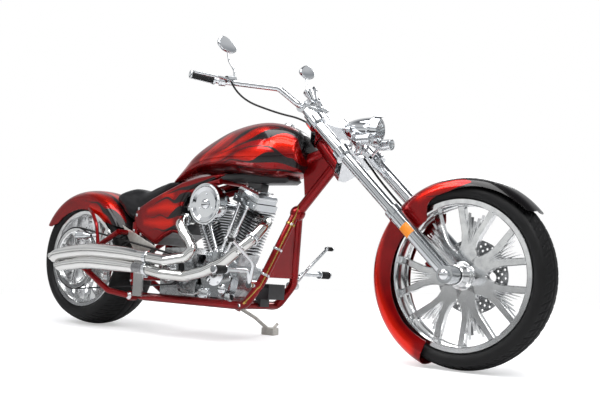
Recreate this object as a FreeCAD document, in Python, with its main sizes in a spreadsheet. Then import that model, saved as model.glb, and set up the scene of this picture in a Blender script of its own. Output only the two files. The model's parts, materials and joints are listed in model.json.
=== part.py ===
"""Chopper motorcycle, parked on its side stand, as a parametric assembly.

Chassis datum: X forward, Y to the rider's left, Z up, rear axle over X = 0, millimetres and degrees.
Every sub-part is made upright in that datum and is then leaned onto the side stand by one placement.
"""
import FreeCAD, Part
import math
import os

import Sketcher
from FreeCAD import Placement, Rotation, Vector

SIZES = (
    # wheels
    ("rear_axle_height", 333), ("rear_radius", 333), ("rear_width", 250), ("rear_crown", 210),
    ("rear_rim_radius", 246), ("rear_rim_width", 226),
    ("front_radius", 345), ("front_width", 124), ("front_crown", 74),
    ("front_rim_radius", 282), ("front_rim_width", 104),
    ("rim_wall", 9), ("spoke_pairs", 7), ("fan_rise", 28.6), ("spoke_thickness", 14),
    ("hub_radius", 50), ("hub_neck", 38),
    ("axle_radius", 12.5), ("running_gap", 0.05), ("seat_gap", 0.3),
    ("disc_radius", 140), ("disc_thickness", 5),
    ("pulley_radius", 152), ("front_pulley_radius", 66), ("belt_width", 28), ("belt_thickness", 6),
    ("belt_offset", 151),
    # steering head and fork
    ("head_x", 1448), ("head_z", 813), ("head_length", 150), ("head_wall_radius", 34),
    ("stem_radius", 24), ("rake", 42), ("tree_rake", 4.5), ("tree_offset", 85), ("tree_gap", 5.3),
    ("tree_thickness", 34), ("fork_length", 762), ("leg_spread", 117), ("fork_tube_radius", 24),
    ("slider_radius", 28), ("slider_length", 400), ("lug_half", 31), ("leg_overhang", 34),
    ("riser_spread", 60), ("riser_height", 118), ("riser_radius", 17), ("riser_offset", 48),
    ("bar_radius", 13), ("grip_radius", 18), ("grip_length", 118),
    # frame
    ("frame_tube_radius", 19), ("rail_radius", 14), ("cradle_spread", 112), ("cradle_height", 168),
    ("cradle_rear_x", 400), ("cradle_front_x", 1110),
    ("swingarm_spread", 186), ("swingarm_radius", 15),
    # engine and gearbox
    ("crank_x", 925), ("crank_z", 276), ("bank_angle", 22.5), ("case_radius", 108),
    ("case_half_width", 72), ("deck_height", 145), ("bore_radius", 50), ("fin_radius", 64),
    ("fin_count", 15), ("fin_pitch", 13.5), ("fin_thickness", 5.5), ("rocker_height", 74),
    ("gearbox_x", 690), ("gearbox_z", 305),
    # body work
    ("fender_gap", 20), ("sheet_thickness", 4),
    ("muffler_radius", 27), ("pipe_radius", 24), ("pipe_offset", 262),
    # stance
    ("lean", 4), ("stand_pivot_x", 850), ("stand_leg_radius", 9), ("stand_foot_x", 927),
    ("stand_foot_y", 300), ("foot_height", 34),
)

doc = FreeCAD.newDocument("Chopper")
sheet = doc.addObject("Spreadsheet::Sheet", "Sizes")
for row, (name, number) in enumerate(SIZES, start=1):
    sheet.set(f"A{row}", name)
    sheet.set(f"B{row}", str(number))
    sheet.setAlias(f"B{row}", name)
doc.recompute()


class Size:
    """A number of the sheet together with the expression that gives it."""

    def __init__(self, number, text):
        self.number = float(number)
        self.text = text

    def __float__(self):
        return self.number

    def _join(self, other, sign, number):
        text = other.text if isinstance(other, Size) else repr(float(other))
        return Size(number, f"({self.text} {sign} {text})")

    def __add__(self, other):
        return self._join(other, "+", self.number + float(other))

    def __sub__(self, other):
        return self._join(other, "-", self.number - float(other))

    def __mul__(self, other):
        return self._join(other, "*", self.number * float(other))

    def __truediv__(self, other):
        return self._join(other, "/", self.number / float(other))

    def __neg__(self):
        return Size(-self.number, f"(0 - {self.text})")

    def root(self):
        return Size(math.sqrt(self.number), f"sqrt({self.text})")


S = {name: Size(sheet.get(name), f"{sheet.Name}.{name}") for name, _ in SIZES}
N = {name: size.number for name, size in S.items()}


def bind(thing, name, value):
    """Set a property or constraint and tie it to the sheet where the value is a Size."""
    if isinstance(value, Size):
        thing.setExpression(name, value.text)
    elif not name.startswith("Constraints"):
        setattr(thing, name, value)


# ---------------------------------------------------------------- stance and frames of reference
def turn(axis, angle):
    return Placement(Vector(), Rotation(axis, angle))


def shift(x=0.0, y=0.0, z=0.0):
    return Placement(Vector(x, y, z), Rotation())


X, Y, Z = Vector(1, 0, 0), Vector(0, 1, 0), Vector(0, 0, 1)
HEAD = shift(N["head_x"], 0, N["head_z"]) * turn(Y, -N["rake"])
LEG = HEAD * shift(N["tree_offset"]) * turn(Y, -N["tree_rake"])
FRONT = shift(*tuple(LEG.multVec(Vector(0, 0, -N["fork_length"]))))
REAR = shift(0, 0, N["rear_axle_height"])
AXLE = FRONT.Base


def parked():
    """Lean the chassis and pitch it until both tyres touch the floor."""
    lean = math.radians(N["lean"])
    hub = {end: (N[f"{end}_radius"] - N[f"{end}_crown"]) * math.cos(lean) + N[f"{end}_crown"]
           for end in ("rear", "front")}
    across = -AXLE.x * math.cos(lean)
    rise = (AXLE.z - N["rear_axle_height"]) * math.cos(lean)
    reach = math.hypot(across, rise)
    pitch = math.pi - math.asin((hub["front"] - hub["rear"]) / reach) - math.atan2(rise, across)
    lift = hub["rear"] - N["rear_axle_height"] * math.cos(pitch) * math.cos(lean)
    return shift(z=lift) * turn(X, -N["lean"]) * turn(Y, math.degrees(pitch))


PARK = parked()
SUBPARTS = []


def keep(thing, label, place=Placement()):
    thing.Label = label
    thing.Placement = PARK * place
    SUBPARTS.append(thing)
    return thing


# ---------------------------------------------------------------- part design helpers
def body(label, place=Placement()):
    return keep(doc.addObject("PartDesign::Body", "Body"), label, place)


def sketch(owner, plane):
    made = owner.newObject("Sketcher::SketchObject", "Sketch")
    base = [o for o in owner.Origin.OriginFeatures if o.Role == f"{plane}_Plane"][0]
    made.AttachmentSupport = [(base, "")]
    made.MapMode = "FlatFace"
    return made


def arc_between(start, end, radius):
    """Short arc from start to end; a positive radius bows to the right of the way from start to end."""
    chord = end - start
    middle = (start + end) * 0.5
    side = Vector(chord.y, -chord.x, 0).normalize()
    sagitta = abs(radius) - math.sqrt(max(radius ** 2 - (chord.Length / 2) ** 2, 0))
    return Part.Arc(start, middle + side * math.copysign(sagitta, radius), end)


def outline(made, corners):
    """Closed outline: each corner is (u, v) or (u, v, radius of the arc that leaves it)."""
    points = [Vector(float(c[0]), float(c[1]), 0) for c in corners]
    first = len(made.Geometry)
    for i, corner in enumerate(corners):
        start, end = points[i], points[(i + 1) % len(points)]
        piece = arc_between(start, end, float(corner[2])) if len(corner) > 2 else Part.LineSegment(start, end)
        made.addGeometry(piece, False)
    backwards = [c for c in range(len(corners)) if len(corners[c]) > 2 and float(corners[c][2]) < 0]
    for i, corner in enumerate(corners):
        after = (i + 1) % len(corners)
        head = 2 if i in backwards else 1
        tail = 1 if i in backwards else 2
        other = 2 if after in backwards else 1
        made.addConstraint(Sketcher.Constraint("Coincident", first + i, tail, first + after, other))
        for kind, value in (("DistanceX", corner[0]), ("DistanceY", corner[1])):
            index = made.addConstraint(Sketcher.Constraint(kind, -1, 1, first + i, head, float(value)))
            bind(made, f"Constraints[{index}]", value)
        if len(corner) > 2:
            index = made.addConstraint(Sketcher.Constraint("Radius", first + i, abs(float(corner[2]))))
            if isinstance(corner[2], Size):
                bind(made, f"Constraints[{index}]", corner[2] if float(corner[2]) > 0 else -corner[2])
    return made


def rings(made, circles):
    """Circles given as (u, v, radius)."""
    for u, v, radius in circles:
        index = made.addGeometry(Part.Circle(Vector(float(u), float(v), 0), Z, float(radius)), False)
        for kind, value in (("DistanceX", u), ("DistanceY", v)):
            number = made.addConstraint(Sketcher.Constraint(kind, -1, 1, index, 3, float(value)))
            bind(made, f"Constraints[{number}]", value)
        number = made.addConstraint(Sketcher.Constraint("Radius", index, float(radius)))
        bind(made, f"Constraints[{number}]", radius)
    return made


def feature(owner, kind, profile, **values):
    made = owner.newObject(f"PartDesign::{kind}", kind)
    made.Profile = profile
    for name, value in values.items():
        bind(made, name, value)
    return made


def pad(owner, profile, length, **values):
    values.setdefault("Midplane", True)
    return feature(owner, "Pad", profile, Length=length, **values)


def pocket(owner, profile, length, **values):
    values.setdefault("Midplane", True)
    return feature(owner, "Pocket", profile, Length=length, **values)


def lathe(owner, profile, kind="Revolution", axis="V_Axis", angle=360):
    return feature(owner, kind, profile, ReferenceAxis=(profile, [axis]), Angle=angle)


def around(owner, features, count, plane_sketch, axis="N_Axis"):
    made = owner.newObject("PartDesign::PolarPattern", "PolarPattern")
    made.Originals = features
    made.Axis = (plane_sketch, [axis])
    made.Angle = 360
    bind(made, "Occurrences", count)
    owner.Tip = made
    return made


# ---------------------------------------------------------------- shape helpers
SHAPES = {}


def solid(label, shape, place=Placement()):
    made = doc.addObject("Part::Feature", "Solid")
    made.Shape = shape
    upright = shape.copy()
    upright.Placement = place * shape.Placement
    SHAPES[label] = upright
    return keep(made, label, place * shape.Placement)


def remember(made):
    """Keep a body's upright shape, so that later sub-parts can seat on it."""
    doc.recompute()
    SHAPES[made.Label] = made.Shape.copy()
    SHAPES[made.Label].Placement = PARK.inverse() * made.Placement


def less(shape, *labels):
    """Shape without the room that finished sub-parts take, so that it seats on their faces."""
    for label in labels:
        shape = shape.cut(SHAPES[label])
    return shape


def largest(shape):
    """Main solid of a cut shape."""
    return max(shape.Solids, key=lambda part: part.Volume)


def path(points, bend):
    """Straight runs joined by tangent arcs of the bend radius, or as large as the runs allow."""
    points = [Vector(*p) for p in points]
    edges, start = [], points[0]
    for before, corner, after in zip(points, points[1:], points[2:]):
        back, ahead = before - corner, after - corner
        half = (math.pi - back.getAngle(ahead)) / 2
        if half < 1e-4:
            continue
        room = 0.45 * min(back.Length, ahead.Length)
        reach = min(bend * math.tan(half), room)
        radius = reach / math.tan(half)
        enter = corner + back.normalize() * reach
        leave = corner + ahead.normalize() * reach
        to_centre = (back + ahead).normalize()
        middle = corner + to_centre * (radius / math.cos(half) - radius)
        edges.append(Part.LineSegment(start, enter).toShape())
        edges.append(Part.Arc(enter, middle, leave).toShape())
        start = leave
    edges.append(Part.LineSegment(start, points[-1]).toShape())
    return Part.Wire(edges)


def rod(points, radius, bend=60.0):
    """Round bar along a path."""
    spine = path(points, bend)
    start, ahead = Vector(*points[0]), Vector(*points[1]) - Vector(*points[0])
    circle = Part.Wire(Part.Circle(start, ahead, radius).toShape())
    return spine.makePipeShell([circle], True, False)


def cylinder(start, end, radius):
    start, end = Vector(*start), Vector(*end)
    return Part.makeCylinder(radius, (end - start).Length, start, end - start)


def weld(shapes):
    """One solid from touching shapes."""
    joined = shapes[0]
    for shape in shapes[1:]:
        joined = joined.fuse(shape)
    return joined


def plate(points, thickness, middle):
    """Flat plate in an XZ plane, centred at Y = middle."""
    corners = [Vector(x, middle - thickness / 2, z) for x, z in points]
    return Part.Face(Part.makePolygon(corners + corners[:1])).extrude(Vector(0, thickness, 0))


def arch(x, low, wide, top, half, foot=0.72, side=1.15):
    """Section across the machine: flat foot, bellied flanks and a crown of three tangent arcs."""
    rise, drop = top - wide, wide - low
    inset = half * (1 - foot)
    belly = (inset ** 2 + drop ** 2) / (2 * inset)
    flank = side * (half ** 2 + rise ** 2) / (2 * half) if rise >= half else rise / side
    crown = ((half - flank) ** 2 + rise ** 2 - flank ** 2) / (2 * (rise - flank))
    flank_centre, crown_centre = Vector(x, half - flank, wide), Vector(x, 0, top - crown)
    along = (flank_centre - crown_centre).normalize() * (1 if crown > flank else -1)
    joint = flank_centre + along * flank
    drop_angle = math.asin(min(drop / belly, 1)) / 2
    knee = Vector(x, half - belly + belly * math.cos(drop_angle), wide - belly * math.sin(drop_angle))
    lean_angle = math.atan2(joint.z - wide, joint.y - flank_centre.y) / 2
    shoulder = flank_centre + Vector(0, flank * math.cos(lean_angle), flank * math.sin(lean_angle))

    def left(point):
        return Vector(point.x, -point.y, point.z)

    foot_point, wide_point = Vector(x, half * foot, low), Vector(x, half, wide)
    return Part.Wire([
        Part.LineSegment(left(foot_point), foot_point).toShape(),
        Part.Arc(foot_point, knee, wide_point).toShape(),
        Part.Arc(wide_point, shoulder, joint).toShape(),
        Part.Arc(joint, Vector(x, 0, top), left(joint)).toShape(),
        Part.Arc(left(joint), left(shoulder), left(wide_point)).toShape(),
        Part.Arc(left(wide_point), left(knee), left(foot_point)).toShape(),
    ])


# ---------------------------------------------------------------- wheels
def tyre(end, place):
    """Tyre with a round crown; its beads sit between the rim's lips."""
    bead = S[f"{end}_rim_width"] / 2 - S["rim_wall"]
    crown, bed = S[f"{end}_crown"], S[f"{end}_rim_radius"] - S["rim_wall"]
    shoulder = S[f"{end}_radius"] - crown + (crown * crown - bead * bead).root()
    bulge = S[f"{end}_width"] / 2 - bead
    chord = (shoulder - S[f"{end}_rim_radius"]) / 2
    wall = (chord * chord + bulge * bulge) / (bulge * 2)
    made = body(f"{end}_tyre", place)
    profile = outline(sketch(made, "XY"), [
        (shoulder, -bead, crown), (shoulder, bead, wall), (S[f"{end}_rim_radius"], bead),
        (bed, bead), (bed, -bead), (S[f"{end}_rim_radius"], -bead, wall)])
    lathe(made, profile)


# One fan of the wheels, from the hub out: share of the way to the rim, share of the rim's radius across
FAN = (
    (0.00, 0.140), (0.19, 0.146), (0.26, 0.122), (0.36, 0.118), (0.50, 0.142), (1.00, 0.296), (1.00, 0.200),
    (0.90, 0.176), (0.64, 0.084), (0.84, 0.104), (0.50, 0.040), (0.78, 0.050), (0.46, 0.012), (0.72, 0.0),
)


def wheel(end, place, hub_half, bore):
    """Billet wheel: a lipped rim, a stepped hub and fans of two arms with feathered webs between."""
    half, wall = S[f"{end}_rim_width"] / 2, S["rim_wall"]
    outer = S[f"{end}_rim_radius"]
    bed = outer - wall
    inner = bed - wall
    hub, neck, thick = S["hub_radius"], S["hub_neck"], S["spoke_thickness"]
    made = body(f"{end}_wheel", place * turn(Y, -N["fan_rise"]))
    section = sketch(made, "XY")
    outline(section, [(inner, -half), (outer, -half), (outer, wall - half), (bed, wall - half),
                      (bed, half - wall), (outer, half - wall), (outer, half), (inner, half)])
    outline(section, [(bore, -hub_half), (neck, -hub_half), (neck, -thick), (hub, -thick - 6),
                      (hub, thick + 6), (neck, thick), (neck, hub_half), (bore, hub_half)])
    lathe(made, section)
    arms, rim = sketch(made, "XZ"), inner + wall / 2
    near = neck + 2
    right = []
    for share, across in FAN:
        v = rim * across
        u = (rim * rim - v * v).root() if share == 1 else near + (rim - near) * share
        right.append((u, -v))
    left = [(u, -v) for u, v in reversed(right[:-1])]
    outline(arms, right + left)
    spokes = pad(made, arms, thick * 2)
    around(made, [spokes], S["spoke_pairs"], arms)


# Rows of drillings in a disc, as shares of its radius, each turned half a pitch from the last
DRILLED = (0.74, 0.835, 0.93)


def disc(label, place, offset, inner, windows=8, holes=26, drill=4.6):
    """Flat perforated ring on a windowed carrier that meets the hub."""
    made = body(label, place * shift(y=offset))
    ring = sketch(made, "XZ")
    rings(ring, [(0, 0, S["disc_radius"]), (0, 0, inner)])
    pad(made, ring, S["disc_thickness"])
    cut = sketch(made, "XZ")
    rings(cut, [(S["disc_radius"] * 0.53, 0, S["disc_radius"] * 0.15)])
    around(made, [pocket(made, cut, S["disc_thickness"] * 4)], windows, cut)
    for row, share in enumerate(DRILLED):
        angle = row % 2 * math.pi / holes
        drilled = sketch(made, "XZ")
        reach = S["disc_radius"] * share
        rings(drilled, [(reach * math.cos(angle), reach * math.sin(angle), drill)])
        around(made, [pocket(made, drilled, S["disc_thickness"] * 4)], holes, drilled)


def pulley(label, place, radius, width, inner):
    made = body(label, place)
    rim = radius - 16
    lathe(made, outline(sketch(made, "XY"), [
        (inner, -(width / 4)), (rim, -(width / 4)), (rim, -(width / 2)), (radius, -(width / 2)),
        (radius, width / 2), (rim, width / 2), (rim, width / 4), (inner, width / 4)]))


FRONT_HUB, REAR_HUB = 80.0, 164.0
BORE = S["axle_radius"] + S["running_gap"]
tyre("rear", REAR)
tyre("front", FRONT)
wheel("rear", REAR, REAR_HUB, BORE)
wheel("front", FRONT, FRONT_HUB, BORE)


disc("front_disc", FRONT, 70, S["hub_neck"])
disc("rear_disc", REAR, 122, S["hub_neck"])
pulley("rear_pulley", REAR * shift(y=-N["belt_offset"]), S["pulley_radius"], S["belt_width"], S["hub_neck"])


# ---------------------------------------------------------------- fork, in the leg's own frame
def on_leg(x, y, z):
    return tuple(LEG.multVec(Vector(x, y, z)))


def on_head(x, y, z):
    return tuple(HEAD.multVec(Vector(x, y, z)))


TREE_LOW = N["head_length"] / 2 + N["tree_gap"]
TREE_HIGH = TREE_LOW + N["tree_thickness"]
LEG_TOP = TREE_HIGH + N["leg_overhang"]


def legs(radius, low, high):
    return [cylinder((0, side * N["leg_spread"], low), (0, side * N["leg_spread"], high), radius)
            for side in (-1, 1)]


def triple_trees():
    """Two clamps joined by the stem that turns in the head tube."""
    spread, boss = N["leg_spread"], N["fork_tube_radius"] + 14
    clamps = []
    for low, high in ((-TREE_HIGH, -TREE_LOW), (TREE_LOW, TREE_HIGH)):
        reach = N["tree_offset"] - (low + high) / 2 * math.tan(math.radians(N["tree_rake"]))
        for side in (-1, 1):
            clamps.append(cylinder((reach, side * spread, low), (reach, side * spread, high), boss))
        web = [Vector(x, y, low) for x, y in (
            (-34, -24), (reach, -spread - 12), (reach + 20, -spread), (reach + 14, 0),
            (reach + 20, spread), (reach, spread + 12), (-34, 24))]
        clamps.append(Part.Face(Part.makePolygon(web + web[:1])).extrude(Vector(0, 0, high - low)))
    stem = cylinder((0, 0, -TREE_HIGH), (0, 0, TREE_HIGH + 12), N["stem_radius"] - N["running_gap"])
    shape = weld(clamps + [stem])
    for leg in legs(N["fork_tube_radius"], -TREE_HIGH - 60, TREE_HIGH + 60):
        leg.Placement = HEAD.inverse() * LEG
        shape = shape.cut(leg)
    solid("triple_trees", shape, HEAD)


SLIDER_TOP = N["slider_length"] - 60 - N["fork_length"]


def fork_legs():
    tube, slider = N["fork_tube_radius"], N["slider_radius"]
    solid("fork_tubes", Part.makeCompound(legs(tube, SLIDER_TOP, LEG_TOP)), LEG)
    parts = []
    for side in (-1, 1):
        y = side * N["leg_spread"]
        low = -N["fork_length"]
        barrel = cylinder((0, y, low), (0, y, SLIDER_TOP), slider)
        collar = cylinder((0, y, SLIDER_TOP - 30), (0, y, SLIDER_TOP), slider + 4)
        lug = cylinder((0, y - N["lug_half"], low), (0, y + N["lug_half"], low), slider + 4)
        hole = cylinder((0, y - 60, low), (0, y + 60, low), N["axle_radius"])
        parts.append(weld([barrel, collar, lug]).cut(hole))
    solid("fork_sliders", Part.makeCompound(parts), LEG)


def front_axle():
    made = body("front_axle", FRONT)
    reach = S["leg_spread"] + S["lug_half"]
    radius = S["axle_radius"]
    lathe(made, outline(sketch(made, "XY"), [
        (0, -reach - 8), (radius * 1.6, -reach - 8), (radius * 1.6, -reach), (radius, -reach),
        (radius, reach), (radius * 1.6, reach), (radius * 1.6, reach + 8), (0, reach + 8)]))


BAR_Z = TREE_HIGH + N["riser_height"]


def bar_points():
    """Route from the left grip's end to the right one's, in the datum, over the risers."""
    clamp = Vector(*on_head(N["riser_offset"], 0, BAR_Z))
    half = [(clamp.x - 316, 420, clamp.z + 98), (clamp.x - 267, 310, clamp.z + 88),
            (clamp.x - 73, 140, clamp.z + 70), (clamp.x, 84, clamp.z)]
    return half + [(x, -y, z) for x, y, z in reversed(half)]


def handlebar():
    points = bar_points()
    bar = rod(points, N["bar_radius"], 45)
    risers = []
    for side in (-1, 1):
        foot = on_head(N["riser_offset"], side * N["riser_spread"], TREE_HIGH)
        top = on_head(N["riser_offset"], side * N["riser_spread"], BAR_Z + 6)
        clamp = on_head(N["riser_offset"], side * N["riser_spread"], BAR_Z)
        risers.append(cylinder(foot, top, N["riser_radius"]))
        risers.append(cylinder((clamp[0], clamp[1] - 18, clamp[2]), (clamp[0], clamp[1] + 18, clamp[2]), 24))
    solid("handlebar", weld([bar] + risers))


def along(points, low, high):
    """Points at two distances from the start of the first run."""
    start, ahead = Vector(*points[0]), (Vector(*points[1]) - Vector(*points[0])).normalize()
    return tuple(start + ahead * low), tuple(start + ahead * high)


def grips():
    made = []
    for side in (1, -1):
        points = [(x, y * side, z) for x, y, z in bar_points()[:2]]
        inner, outer = along(points, N["grip_length"] * 0.93, -8)
        core = cylinder(*along(points, 0, N["grip_length"]), N["bar_radius"])
        made.append(cylinder(outer, inner, N["grip_radius"]).cut(core))
    solid("grips", Part.makeCompound(made))


def hand_controls():
    """Perch, master cylinder and lever on each side of the bar."""
    made = []
    for side in (1, -1):
        points = [(x, y * side, z) for x, y, z in bar_points()[:3]]
        near, far = along(points[1:], 6, 34)
        clamp = cylinder(near, far, 20)
        middle = (Vector(*near) + Vector(*far)) * 0.5
        tank = cylinder(middle + Vector(40, side * 18, 2), middle + Vector(30, -side * 40, 14), 13)
        neck = cylinder(middle + Vector(8, 0, 0), middle + Vector(38, 0, 4), 10)
        lever = rod([middle + Vector(42, side * 10, 2), middle + Vector(42, side * 60, 0),
                     middle + Vector(0, side * 165, 6)], 6, 60)
        made.append(less(weld([clamp, tank, neck, lever]), "handlebar"))
    solid("hand_controls", Part.makeCompound(made))


MIRROR = ((-58, -8), (-20, -34), (38, -26), (60, 4), (30, 36), (-16, 30))


def mirrors():
    """Shell-shaped heads on curved stalks."""
    made = []
    for side in (1, -1):
        points = [(x, y * side, z) for x, y, z in bar_points()[:3]]
        foot = Vector(*along(points[1:], 66, 66)[0])
        stalk = rod([foot, foot + Vector(2, side * 2, 50), foot + Vector(-26, side * 6, 96),
                     foot + Vector(-34, side * 8, 140)], 5, 40)
        face = Part.Face(Part.makePolygon([Vector(0, side * u, v) for u, v in MIRROR + MIRROR[:1]]))
        head = face.extrude(Vector(16, 0, 0))
        head = head.makeChamfer(6, [edge for edge in head.Edges if edge.BoundBox.XMin > 15])
        head.Placement = Placement(foot + Vector(-44, side * 12, 158), Rotation(Y, -14))
        made.append(less(weld([stalk, head]), "handlebar", "hand_controls"))
    solid("mirrors", Part.makeCompound(made))


def gauge():
    """Round gauge in a cup on a stalk from the left riser's clamp."""
    x, _, z = on_head(N["riser_offset"], 0, BAR_Z)
    side = N["riser_spread"]
    stalk = rod([(x, side, z + 20), (x + 2, side - 8, z + 40), (x + 8, 0, z + 42)], 6, 30)
    tilt = Rotation(Y, -28)
    cup = Part.makeCone(15, 27, 42)
    rim = Part.makeCylinder(30, 9, Vector(0, 0, 40))
    for shape in (cup, rim):
        shape.Placement = Placement(Vector(x + 8, 0, z + 36), tilt)
    solid("gauge", less(weld([stalk, cup, rim]), "handlebar"))


CABLE_RADIUS, HOSE_RADIUS = 4, 4.5


def control_cable():
    """Cable from the right-hand control down to the upper clamp."""
    points = [(x, -y, z) for x, y, z in bar_points()[:3]]
    near, far = along(points[1:], 6, 34)
    start = (Vector(*near) + Vector(*far)) * 0.5 + Vector(36, 10, 4)
    clamp = Vector(*on_head(N["riser_offset"], 0, BAR_Z))
    cable = rod([start, start + Vector(14, 34, -70), (clamp.x - 70, -150, clamp.z - 36),
                 (clamp.x + 34, -96, clamp.z - 60), on_head(40, -76, TREE_HIGH - 4)], CABLE_RADIUS, 90)
    solid("control_cable", largest(less(cable, "hand_controls", "triple_trees", "handlebar")))


def brake_hose():
    """Hose from the lower clamp down the back of the left leg to the caliper."""
    y, low = N["leg_spread"], -N["fork_length"]
    behind = -N["slider_radius"] - 4 - HOSE_RADIUS - 6
    hose = rod([on_leg(behind + 16, y, -70), on_leg(behind, y, -150), on_leg(behind, y, low + 300),
                on_leg(-78, 82, low + 210), on_leg(-78, 82, low + 160)], HOSE_RADIUS, 90)
    solid("brake_hose", largest(less(hose, "triple_trees", "front_caliper", "fork_sliders", "front_fender")))


def headlight():
    """Bullet shell with a visor, on a bracket that rises from the lower clamp."""
    made = body("headlight", HEAD * shift(176, 0, -28) * turn(Y, N["rake"] + 96))
    lathe(made, outline(sketch(made, "XZ"), [
        (0, -92), (22, -86, 90), (50, -20), (55, 40), (58, 44), (58, 56), (52, 60), (0, 66)]))
    remember(made)


def headlight_bracket():
    """Stem and saddle that carry the headlight on the lower clamp."""
    foot, top = on_head(92, 0, -TREE_LOW - 8), on_head(150, 0, -52)
    stem = rod([foot, on_head(112, 0, -84), top, on_head(164, 0, -36)], 10, 40)
    arms = [rod([on_head(60, side * 20, -TREE_LOW - 8), on_head(112, side * 58, -66), on_head(158, side * 62, -34),
                 on_head(158, side * 40, -34)], 6, 30) for side in (-1, 1)]
    shape = less(weld([stem] + arms), "triple_trees", "headlight")
    solid("headlight_bracket", Part.makeCompound([part for part in shape.Solids if part.Volume > 2000]))


def lamps():
    """Two bullet lamps on the lower clamp."""
    made = []
    for side in (1, -1):
        arm = rod([on_head(112, side * 60, -TREE_HIGH + 14), on_head(150, side * 72, -92),
                   on_head(178, side * 78, -96)], 7, 30)
        start = Vector(*on_head(178, side * 78, -96))
        shell = cylinder(start - Vector(20, 0, 0), start + Vector(34, 0, 0), 22)
        nose = Part.makeCone(22, 8, 30, start - Vector(20, 0, 0), Vector(-1, 0, 0))
        made.append(less(weld([arm, shell, nose]), "triple_trees"))
    solid("fork_lamps", Part.makeCompound(made))


def fender(radius, half, skirt, start, sweep):
    """Arched sheet turned about the axle, with rolled shoulders and deep skirts."""
    wall = N["sheet_thickness"]
    profile = []
    for inset in (0, wall):
        r, w = radius - inset, half - inset
        profile.append((Vector(skirt, -w, 0), Vector(r * 0.86, -w, 0), Vector(r * 0.955, -w * 0.78, 0),
                        Vector(r, 0, 0), Vector(r * 0.955, w * 0.78, 0), Vector(r * 0.86, w, 0), Vector(skirt, w, 0)))
    edges = []
    for low, knee, shoulder, top, shoulder2, knee2, high in profile:
        bow = 0.35
        first = (knee + shoulder) * 0.5 + Vector(bow * 10, -bow * 10, 0)
        second = (knee2 + shoulder2) * 0.5 + Vector(bow * 10, bow * 10, 0)
        edges += [Part.LineSegment(low, knee).toShape(), Part.Arc(knee, first, shoulder).toShape(),
                  Part.Arc(shoulder, top, shoulder2).toShape(), Part.Arc(shoulder2, second, knee2).toShape(),
                  Part.LineSegment(knee2, high).toShape()]
    edges.append(Part.LineSegment(profile[0][0], profile[1][0]).toShape())
    edges.append(Part.LineSegment(profile[0][-1], profile[1][-1]).toShape())
    face = Part.Face(Part.Wire(Part.__sortEdges__(edges)))
    face.rotate(Vector(), Y, -start)
    return face.revolve(Vector(), Y, -sweep)


def trimmed(sheet_metal, edge):
    """Fender without what lies inside or behind its edge, given as (angle from straight ahead, radius)."""
    last, reach = edge[-1]
    points = [(radius * math.cos(math.radians(angle)), radius * math.sin(math.radians(angle)))
              for angle, radius in edge + ((last + 32, reach), (0, 0))]
    return largest(sheet_metal.cut(plate(points, 600, 0)))


FRONT_EDGE = ((38, 400), (42, 346), (60, 339), (80, 328), (98, 306), (110, 298), (116, 284), (121, 232),
              (134, 232), (146, 258), (170, 262), (198, 268), (222, 272), (247, 266), (232, 342), (228, 400))
REAR_EDGE = ((22, 400), (27, 346), (34, 304), (46, 256), (75, 251), (110, 251), (138, 262), (148, 296), (152, 400))


def front_fender():
    """Long fender that hugs the tyre, with a wide flank at the fork and a pointed tail."""
    radius = N["front_radius"] + N["fender_gap"]
    half = N["front_width"] / 2 + 14
    arc = trimmed(fender(radius, half, 228, 40, 208), FRONT_EDGE)
    arc.Placement = FRONT
    high = 304 - N["fork_length"]
    bosses = [cylinder(on_leg(0, side * (half - 1), high), on_leg(0, side * N["leg_spread"], high), 8)
              for side in (-1, 1)]
    solid("front_fender", less(weld([arc] + bosses), "fork_sliders"))


def front_caliper():
    block = Part.makeBox(64, 42, 96, Vector(-32, -21, -48))
    slot = Part.makeBox(90, 15, 120, Vector(-51, -7.5, -80))
    arm = Part.makeBox(40, 26, 44, Vector(22, 8, -22))
    shape = weld([block.cut(slot), arm])
    shape.Placement = LEG * shift(-70, 70, -N["fork_length"] + 118)
    solid("front_caliper", less(shape, "fork_sliders"))


triple_trees()
fork_legs()
front_axle()
handlebar()
grips()
hand_controls()
mirrors()
gauge()
headlight()
headlight_bracket()
lamps()
front_fender()
front_caliper()
control_cable()
brake_hose()


# ---------------------------------------------------------------- frame
BACKBONE_FRONT, BACKBONE_SADDLE, RAIL_TOP = 792, 776, 706
BACKBONE = ((1280, 0, BACKBONE_FRONT), (900, 0, BACKBONE_SADDLE), (600, 0, 672), (440, 0, 560))
SPINE_RADIUS = N["frame_tube_radius"] + 3
SPINE_TOP = on_head(0, 0, N["head_length"] / 2 - 46)
STAND_EYE, STAND_PIN = 15.0, 6.0


def stand_frame():
    """Side stand's pivot: local Z is the hinge, local X points from the pivot to the foot."""
    pivot = Vector(N["stand_pivot_x"], N["cradle_spread"] + N["frame_tube_radius"] + STAND_EYE + 6,
                   N["cradle_height"] - 22)
    down = on_floor(N["stand_foot_x"], N["stand_foot_y"], N["foot_height"] / 2) - pivot
    hinge = down.cross(Vector(-1, 0.1, 0.06))
    return Placement(pivot, Rotation(down, Vector(), hinge, "ZXY")), down.Length


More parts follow.
